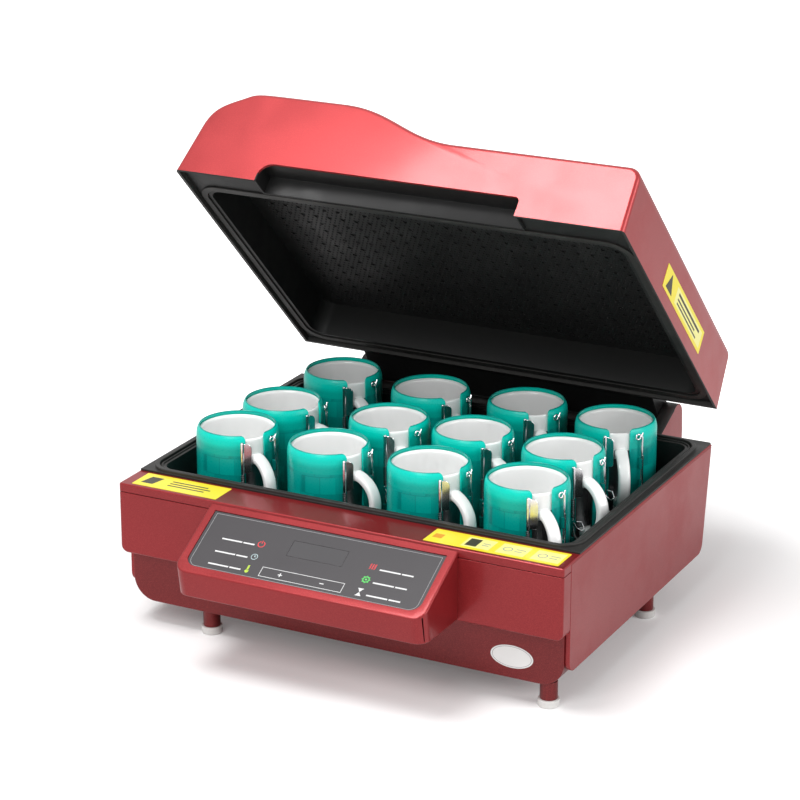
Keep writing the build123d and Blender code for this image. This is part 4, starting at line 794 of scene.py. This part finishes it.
teal_silicone, tree, shader = new_finish(
    "teal_silicone", roughness=0.3, coat=0.08, coat_roughness=0.1, specular=0.22
)
band = add_node(tree, "ShaderNodeUVMap", uv_map="band").outputs["UV"]
band_height = add_node(tree, "ShaderNodeSeparateXYZ", Vector=band).outputs["Y"]
mat_cells = add_node(
    tree, "ShaderNodeTexBrick", offset=0.35, squash=1.0, Scale=1.0, Vector=band,
    Brick_Width=0.0165, Row_Height=0.0185, Mortar_Size=0.0005, Mortar_Smooth=0.5,
    Color1=(0.0, 0.0, 0.0, 1), Color2=(1.0, 1.0, 1.0, 1), Mortar=(0.2, 0.2, 0.2, 1),
)
band_colour = mixed(tree, mat_cells.outputs["Color"], (0.0, 0.24, 0.215, 1), (0.0, 0.4, 0.345, 1))
# Lighter vertical streaks round the band are a painted highlight: the lamps' sheen on the glossy silicone.
stretch = add_node(tree, "ShaderNodeMapping", Scale=(60.0, 9.0, 1.0), Vector=band)
painted_highlight_streaks = noise(tree, stretch.outputs["Vector"], 1.0, 1.0)
band_colour = mixed(tree, ranged(tree, painted_highlight_streaks, 0.45, 0.62, 0.0, 0.6), band_colour, (0.0, 0.46, 0.39, 1))
# Over the painted highlight streaks: the silicone's own lighter tint above the heating mat, a painted
# highlight on the rolled lip, painted shade inside the lip and painted shade darkening the foot.
for low, high, at_low, at_high, tint in (
    (0.0765, 0.0775, 0.0, 1.0, (0.0, 0.44, 0.365, 1)),
    # painted highlight where the rolled lip curves over towards the lamps
    (0.083, 0.0885, 0.0, 1.0, (0.0, 0.62, 0.51, 1)),
    # painted shade on the inner face of the roll
    (0.0968, 0.0976, 0.0, 0.7, (0.0, 0.2, 0.17, 1)),
    # painted shade, darker towards the foot, low in the tray between the mugs
    (0.004, 0.022, 0.5, 0.0, (0.0, 0.09, 0.08, 1)),
):
    share = ranged(tree, band_height, low, high, at_low, at_high)
    band_colour = mixed(tree, share, band_colour, tint)
fine = ranged(tree, noise(tree, own_place(tree), 900.0), 0.3, 0.7, 0.25, 0.36)
feed(tree, shader, Base_Color=band_colour, Roughness=fine)
relief(tree, shader, mat_cells.outputs["Fac"], 0.2, 0.0005)
wraps = closed_piece("silicone_wraps", form, teal_silicone, "base", smooth_below=50.0)
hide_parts("mug_wraps")

# ------------------------------------------------------------------ wrap clamps
# A stainless rod runs down each end of a wrap. The left one carries a sprung lever plate, and the
# right one a ring eye and the wire loop that hooks under the handle.
brushed, enter, leave = new_effect(
    "brushed metal",
    [("Color", "Color", (0.6, 0.6, 0.6, 1)), ("Roughness", "Float", 0.2), ("Scratch", "Float", 0.1)],
    finish_outputs,
)
where = own_place(brushed)
drawn = add_node(brushed, "ShaderNodeMapping", Scale=(1500.0, 1500.0, 60.0), Vector=where)
lines_drawn = noise(brushed, drawn.outputs["Vector"], 1.0, 3.0)
stain = ranged(brushed, noise(brushed, where, 45.0, 4.0), 0.4, 0.75, 0.0, 0.35)
feed(
    brushed, leave, Color=mixed(brushed, stain, enter["Color"], (0.3, 0.29, 0.27, 1)),
    Roughness=worked(brushed, "MULTIPLY_ADD", lines_drawn, enter["Scratch"], enter["Roughness"]),
    Height=lines_drawn,
)


def bright_metal(name, colour, roughness, scratch=0.12, bump=0.05):
    """Drawn or rolled bare metal with fine lines and a little staining."""
    finish, tree, shader = new_finish(name, metallic=1.0)
    use_effect(
        tree, shader, brushed, bump=bump, bump_distance=0.0001,
        Color=colour, Roughness=roughness, Scratch=scratch,
    )
    return finish


def round_mug(turn, reach, height=0.0):
    """A point near a mug, by its turn from the handle, its reach from the axis and its height."""
    return Vector((reach * cos(radians(turn)), reach * sin(radians(turn)), height))


clamp_steel = bright_metal("clamp_steel", (0.86, 0.86, 0.88, 1), 0.1)
rod_low, rod_high, rod_radius = 0.0060, 0.0928, 0.0012
ring_turn, ring_reach, ring_height, ring_radius, ring_wire = 22.8, 0.0458, 0.0902, 0.0028, 0.0009
wire_radius = 0.0009
tab_reach, tab_radius, bar_turn, bar_radius = 0.0472, 0.0010, 27.6, 0.0011
tab_line = ((25.2, 0.0905), (27.2, 0.0925), (28.6, 0.0945))
hook_line = (
    (28, 0.0482, 0.070), (28, 0.0484, 0.034), (26, 0.0500, 0.020), (18, 0.0525, 0.0120),
    (6, 0.0535, 0.0075), (-8, 0.0530, 0.0075), (-17, 0.0510, 0.0130), (-21, 0.0492, 0.0200),
    (-22, 0.0480, 0.0290),
)
link_line = (
    (-22, 0.0482, 0.0330), (-18, 0.0500, 0.0270), (-12, 0.0505, 0.0230), (-8, 0.0485, 0.0260),
    (-11, 0.0470, 0.0315), (-17, 0.0465, 0.0325),
)
form = bmesh.new()
for place in mug_places:
    stand = mug_matrix(place)
    for turn in rod_angles:
        rod = [stand @ round_mug(turn, rod_reach, z) for z in (rod_low, 0.03, 0.06, rod_high)]
        tube(form, rod, rod_radius, up=sideways)
    out = round_mug(ring_turn, 1.0)
    along = Vector((-out.y, out.x, 0))
    ring_centre = out * ring_reach + upright * ring_height
    ring_spokes = [around(k, 24) for k in range(24)]
    ring_path = [
        stand @ (ring_centre + ring_radius * (x * along + y * upright)) for x, y in ring_spokes
    ]
    tube(form, ring_path, ring_wire, closed=True, sides=8, up=(stand.to_3x3() @ out))
    tab = [stand @ round_mug(turn, tab_reach, z) for turn, z in tab_line]
    tube(form, tab, tab_radius, sides=8)
    bar = [stand @ round_mug(bar_turn, tab_reach, z) for z in (0.0560, 0.0650, 0.0800, 0.0900)]
    tube(form, bar, bar_radius, sides=8, up=sideways)
    for wire in (hook_line, link_line):
        tube(form, [stand @ round_mug(*point) for point in wire], wire_radius, sides=8)
rods = closed_piece("clamp_wires", form, clamp_steel, "base", smooth_below=60.0)
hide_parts("wrap_rods")

lever_low, lever_high, lever_reach, lever_half_sheet, lever_round = 0.0580, 0.0920, 0.0098, 0.0006, 0.0060
coil_low, coil_high, coil_turns, coil_reach, coil_wire = 0.0370, 0.0570, 9, 0.0020, 0.0005
spring_steel = bright_metal("spring_steel", (0.12, 0.12, 0.125, 1), 0.2, scratch=0.2)
for number, place in enumerate(mug_places, start=1):
    stand = mug_matrix(place)
    out = round_mug(rod_angles[0], 1.0)
    along = Vector((-out.y, out.x, 0))
    foot = out * rod_reach
    lever_body = f"lever_{number:02d}"
    form = bmesh.new()
    barrel_heights = (lever_low, lever_low + 0.001, 0.075, lever_high - 0.001, lever_high)
    barrel = [stand @ (foot + upright * z) for z in barrel_heights]
    tube(form, barrel, 0.0020, sides=18, up=sideways)
    outline = [
        (0.0012, lever_low + 0.001), (lever_reach - 0.002, lever_low + 0.001),
        (lever_reach, lever_low + 0.003),
    ]
    outline += [
        (
            lever_reach - lever_round + lever_round * cos(pi / 2 * k / 8),
            lever_high - 0.0008 - lever_round + lever_round * sin(pi / 2 * k / 8),
        )
        for k in range(9)
    ] + [(0.0012, lever_high - 0.0008)]
    for sheet_side in (-1, 1):
        face_foot = foot + out * sheet_side * lever_half_sheet
        corners = [
            form.verts.new(stand @ (face_foot + along * reach + upright * z)) for reach, z in outline
        ]
        if sheet_side < 0:
            inner_corners = corners
            form.faces.new(list(reversed(corners)))
        else:
            form.faces.new(corners)
            for k in range(len(corners)):
                after = (k + 1) % len(corners)
                form.faces.new((inner_corners[k], inner_corners[after], corners[after], corners[k]))
    lever = closed_piece(
        f"lever_plate_{number:02d}", form, clamp_steel, lever_body, smooth_below=40.0
    )
    ease = lever.modifiers.new("eased edges", "BEVEL")
    ease.width, ease.segments, ease.limit_method = 0.0003, 2, "ANGLE"
    settle(lever)
    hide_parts(f"wrap_lever_{number:02d}")
    form = bmesh.new()
    coil_steps = 12 * coil_turns
    coil_rise = coil_high - coil_low
    coil = [
        stand @ (foot + Vector((*around(k, 12, coil_reach), coil_low + coil_rise * k / coil_steps)))
        for k in range(coil_steps + 1)
    ]
    tube(form, coil, coil_wire, sides=6)
    closed_piece(
        f"lever_spring_{number:02d}", form, spring_steel, lever_body, smooth_below=60.0
    )

form = bmesh.new()
clip_panels = ((-17.0, 12.0, 0.0240, 0.0660), (-17.0, -9.6, 0.0060, 0.0750), (9.6, 12.0, 0.0060, 0.0750))
for place in mug_places:
    stand = mug_matrix(place)
    for start, end, low, high in clip_panels:
        rings = []
        for step in range(9):
            turn = start + (end - start) * step / 8
            section = ((0.0412, low), (0.0418, low), (0.0418, high), (0.0412, high))
            rings.append([
                form.verts.new(stand @ round_mug(turn, reach, height)) for reach, height in section
            ])
        skin(form, rings)
closed_piece("clip_sheets", form, spring_steel, "base", smooth_below=40.0)

# ------------------------------------------------------------------ lid lining
# The lid's mouth is closed by a black enamelled frame round a deep cavity. The plate at its end is
# pressed with close rows of dimples, and a soft seal runs round the mouth.
black_enamel = moulded(
    "black_enamel", (0.011, 0.011, 0.011, 1), (0.024, 0.024, 0.022, 1), 0.45,
    grain=500.0, bump=0.1, specular=0.2,
)
eased("lid_liner", black_enamel, "lid", width=0.001, segments=3)
eased("lid_gasket", black_rubber, "lid", width=0.0004)
eased("lid_plate", black_enamel, "lid", width=0.0002)

hinge = Vector(next(joint["pos_m"] for joint in frame["joints"] if joint["name"] == "lid_hinge"))
lid_open_angle = 44.5
lid_turn = Matrix.Translation(hinge) @ Matrix.Rotation(radians(-lid_open_angle), 4, "X")
lid_bottom = -0.0036
tray_from_hinge = bead_centre.y - hinge.y
dimple_face = lid_bottom + 0.0436

dimples, enter, leave = new_effect(
    "dimple_rows",
    [
        ("Geometry", "Geometry", None), ("Columns", "Int", 80), ("Rows", "Int", 54),
        ("Width", "Float", 0.43), ("Length", "Float", 0.29), ("Stagger", "Float", 0.00272),
        ("Dimple radius", "Float", 0.0013), ("Dimple height", "Float", 0.0005),
        ("Centre", "Vector", (0, 0, 0)), ("Turn", "Vector", (0, 0, 0)), ("Finish", "Material", None),
    ],
    [("Geometry", "Geometry")],
    kind="GeometryNodeTree",
)
grid = add_node(
    dimples, "GeometryNodeMeshGrid", Vertices_X=enter["Columns"], Vertices_Y=enter["Rows"],
    Size_X=enter["Width"], Size_Y=enter["Length"],
)
cone = add_node(
    dimples, "GeometryNodeMeshCone", Vertices=6, Side_Segments=1,
    Radius_Top=worked(dimples, "MULTIPLY", enter["Dimple radius"], 0.5),
    Radius_Bottom=enter["Dimple radius"], Depth=enter["Dimple height"],
)
odd = worked(dimples, "MODULO", add_node(dimples, "GeometryNodeInputIndex").outputs[0], 2.0)
stagger = add_node(
    dimples, "ShaderNodeCombineXYZ", X=worked(dimples, "MULTIPLY", odd, enter["Stagger"])
)
staggered = add_node(
    dimples, "GeometryNodeSetPosition", Geometry=grid.outputs["Mesh"], Offset=stagger.outputs[0]
)
spread = add_node(
    dimples, "GeometryNodeInstanceOnPoints",
    Points=staggered.outputs["Geometry"], Instance=cone.outputs["Mesh"],
)
real = add_node(dimples, "GeometryNodeRealizeInstances", Geometry=spread.outputs["Instances"])
placed = add_node(
    dimples, "GeometryNodeTransform", Geometry=real.outputs["Geometry"],
    Translation=enter["Centre"], Rotation=enter["Turn"],
)
coated = add_node(
    dimples, "GeometryNodeSetMaterial", Geometry=placed.outputs["Geometry"],
    Material=enter["Finish"],
)
feed(dimples, leave, Geometry=coated.outputs["Geometry"])


def spread_piece(name, tree, settings, body):
    """The mesh that a geometry tree makes with these settings and its own for the rest."""
    piece = bpy.data.objects.new(name, bpy.data.meshes.new(name))
    scene.collection.objects.link(piece)
    modifier = piece.modifiers.new(tree.name, "NODES")
    modifier.node_group = tree
    sockets = {item.name: item.identifier for item in tree.interface.items_tree if item.in_out == "INPUT"}
    for label, value in settings.items():
        modifier[sockets[label]] = value
    settle(piece)
    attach(piece, body)
    return piece


dimple_centre = lid_turn @ Vector((0, tray_from_hinge, dimple_face - 0.0002))
spread_piece(
    "lid_dimples", dimples,
    {
        "Centre": dimple_centre, "Turn": Vector((pi - radians(lid_open_angle), 0, 0)),
        "Finish": black_enamel,
    },
    "lid",
)


def face_film(name, node, chosen, thickness, finish, body):
    """A thin closed film over those faces of a node that a test picks."""
    form = merged(node)
    bmesh.ops.delete(form, geom=[face for face in form.faces if not chosen(face)], context="FACES")
    film = new_piece(name, form, finish, body)
    thicken = film.modifiers.new("thickness", "SOLIDIFY")
    thicken.thickness = thickness
    thicken.offset = 1.0
    return settle(film)


def on_lid_edge(face):
    """Whether a face of the shell lies on its lower edge or looks inward from one of its walls."""
    middle = lid_turn.inverted() @ face.calc_center_median()
    facing = lid_turn.to_3x3().inverted() @ face.normal
    inward = Vector((-middle.x, tray_from_hinge - middle.y, 0)).dot(facing) > 0.05
    return (facing.z < -0.9 and abs(middle.z - lid_bottom) < 0.0008) or (abs(facing.z) < 0.3 and inward)


face_film("lid_edge_seal", "lid_shell", on_lid_edge, 0.0003, black_rubber, "lid")

# ------------------------------------------------------------------ lid grip
# A moulded black pocket behind the cut in the lid's front edge, with a ribbed floor for the fingers.
black_plastic = moulded(
    "black_plastic", (0.01, 0.01, 0.01, 1), (0.026, 0.026, 0.026, 1), 0.4,
    grain=1100.0, specular=0.2,
)
eased("lid_grip", black_plastic, "lid", width=0.0005)

# ------------------------------------------------------------------ hinge
# A black cover joins the lid to its barrel. Under it, three steel arms turn on a ground shaft in
# bronze bushes, and the shaft sits in the red block on the casing's back.
eased("hinge_neck", black_plastic, "lid", width=0.0008)
ground_steel = bright_metal("ground_steel", (0.55, 0.55, 0.56, 1), 0.22)
bush_bronze = bright_metal("bush_bronze", (0.6, 0.42, 0.2, 1), 0.35)


def dress(finish, *names):
    """Gives CAD nodes a finish where their own form is right."""
    for name in names:
        nodes[name].data.materials.clear()
        nodes[name].data.materials.append(finish)


dress(ground_steel, "hinge_shaft", "hinge_arms")
dress(bush_bronze, "hinge_bushes")


def towards_tray(face):
    """Whether a face of the hinge block looks at the tray."""
    return face.normal.y < -0.3 or face.normal.z > 0.9


# A black sheet over the red block's faces that look at the tray or up is painted shade: the lid's shadow falls
# on them.
face_film("hinge_block_painted_shade", "hinge_housing", towards_tray, 0.0003, black_rubber, "base")

# ------------------------------------------------------------------ rear fittings
# The mains inlet, the rocker switch and the cooling fan stand in the two rear corners.
dress(black_plastic, "power_inlet", "switch_housing", "fan_frame", "fan_rotor")
red_rocker = moulded(
    "red_rocker", (0.5, 0.012, 0.012, 1), (0.4, 0.01, 0.01, 1), 0.25,
    grain=500.0, bump=0.03, coat=0.4,
)
dress(red_rocker, "power_rocker")

# ------------------------------------------------------------------ machinery inside the base
# The heater, its insulation, the pump with its valve and hose, and the electrics lie under the tray.
dress(bright_metal("heater_sheath", (0.4, 0.37, 0.33, 1), 0.4), "tray_heater")
dress(bright_metal("zinc_plate", (0.6, 0.61, 0.6, 1), 0.34), "base_plate", "power_module")
dress(bright_metal("pump_alloy", (0.5, 0.5, 0.5, 1), 0.42), "vacuum_pump", "pump_flywheel")
dress(bright_metal("valve_brass", (0.7, 0.52, 0.22, 1), 0.28), "vacuum_valve")
for name, colour, worn, roughness, grain, bump, node in (
    ("mica_heater", (0.42, 0.36, 0.25, 1), (0.5, 0.45, 0.35, 1), 0.45, 200.0, 0.2, "lid_heater"),
    ("ceramic_felt", (0.78, 0.76, 0.7, 1), (0.66, 0.62, 0.52, 1), 0.95, 500.0, 0.6, "insulation_pad"),
    ("milky_hose", (0.72, 0.72, 0.7, 1), (0.6, 0.6, 0.56, 1), 0.3, 300.0, 0.05, "vacuum_hose"),
    ("ceramic_terminals", (0.8, 0.78, 0.72, 1), (0.66, 0.62, 0.54, 1), 0.55, 700.0, 0.12, "terminal_block"),
    ("board_mask", (0.02, 0.16, 0.06, 1), (0.05, 0.24, 0.1, 1), 0.3, 500.0, 0.1, "control_board"),
):
    dress(moulded(name, colour, worn, roughness, grain=grain, bump=bump), node)

# ------------------------------------------------------------------ labels and badge
# Coated paper labels with plain bars, and a blank oval badge. None of them carries a word.
label_yellow, label_pale = (
    moulded(name, colour, worn, 0.4, grain=1300.0, bump=0.05, coat=0.2)
    for name, colour, worn in (
        ("label_yellow", (0.93, 0.78, 0.03, 1), (0.86, 0.7, 0.05, 1)),
        ("label_pale", (0.93, 0.88, 0.3, 1), (0.85, 0.8, 0.3, 1)),
    )
)
label_ink = ink("label_ink", (0.05, 0.045, 0.03, 1))
amber_ink = ink("amber_ink", (0.75, 0.32, 0.02, 1))
badge_white = moulded(
    "badge_white", (0.8, 0.8, 0.79, 1), (0.7, 0.7, 0.68, 1), 0.25,
    grain=600.0, bump=0.03, coat=0.4,
)
dress(label_yellow, "lip_labels", "lid_label")
dress(badge_white, "front_badge")

lip_low, lip_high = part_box("lip_labels")
label_middle_y = (lip_low.y + lip_high.y) / 2
lip_left = on_plane(Vector((-0.1875, label_middle_y, lip_high.z)), Vector((1, 0, 0)), Vector((0, 1, 0)))
lip_right = on_plane(Vector((0.170, label_middle_y, lip_high.z)), Vector((1, 0, 0)), Vector((0, 1, 0)))
left_marks = [[(-44, -9), (-30, -9), (-26, 9), (-40, 9)]]
for row in (6.0, 0.5, -5.0):
    left_marks += flat_bar(-14, row - 1.1, 34 - abs(row), row + 1.1)
printed("left_label_marks", lip_left, left_marks, label_ink, "base")
right_panes = []
for pane in (-34.0, 3.0, 40.0):
    right_panes += flat_bar(pane, -12.0, pane + 30.0, 12.0)
printed("right_label_panes", lip_right, right_panes, label_pale, "base")
printed("right_label_sign", lip_right, flat_bar(-68, -5, -58, 5), amber_ink, "base")
printed(
    "right_label_block", lip_right, flat_bar(-31, -9, -19, 9),
    label_ink, "base", thickness=0.1,
)
right_marks = flat_bar(-15, 1.0, -7, 2.2) + flat_bar(-15, -3.2, -8, -2.0)
for pane in (3.0, 40.0):
    right_marks += flat_ring(5.0, 4.0, (pane + 9, 0)) + flat_bar(pane + 17, 2.0, pane + 27, 3.2)
    right_marks += flat_bar(pane + 17, -3.2, pane + 25, -2.0)
printed("right_label_marks", lip_right, right_marks, grey_ink, "base", thickness=0.1)

side_low, side_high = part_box("lid_label")
side_middle = (side_low + side_high) / 2
lid_up = lid_turn.to_3x3() @ Vector((0, 0, 1))
lid_along = lid_turn.to_3x3() @ Vector((0, 1, 0))
wall_lean = 0.0028 / 0.071
side_up = (lid_up - Vector((1, 0, 0)) * wall_lean).normalized()
side_plane = on_plane(side_middle, lid_along, side_up)
side_plane.translation = side_middle + side_plane.to_3x3() @ Vector((0, 0, 0.00016))
side_panes = flat_bar(-32, -9, 68, 9)
printed("lid_label_pane", side_plane, side_panes, label_pale, "lid")
side_marks = [[(-66, -9), (-44, -9), (-55, 10)]]
for right, low, high in ((58, 3, 6), (44, -2, 0), (52, -6.5, -4.5)):
    side_marks += flat_bar(-24, low, right, high)
printed("lid_label_marks", side_plane, side_marks, label_ink, "lid", thickness=0.1)

badge_low, badge_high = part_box("front_badge")
badge_middle = (badge_low + badge_high) / 2
badge_plane = on_plane(Vector((badge_middle.x, badge_low.y, badge_middle.z)), sideways, upright)
oval = []
for step in range(48):
    first, second = 2 * pi * step / 48, 2 * pi * (step + 1) / 48
    oval.append([
        (21.4 * cos(first), 10.9 * sin(first)), (21.4 * cos(second), 10.9 * sin(second)),
        (20.8 * cos(second), 10.4 * sin(second)), (20.8 * cos(first), 10.4 * sin(first)),
    ])
printed("badge_line", badge_plane, oval, grey_ink, "base")
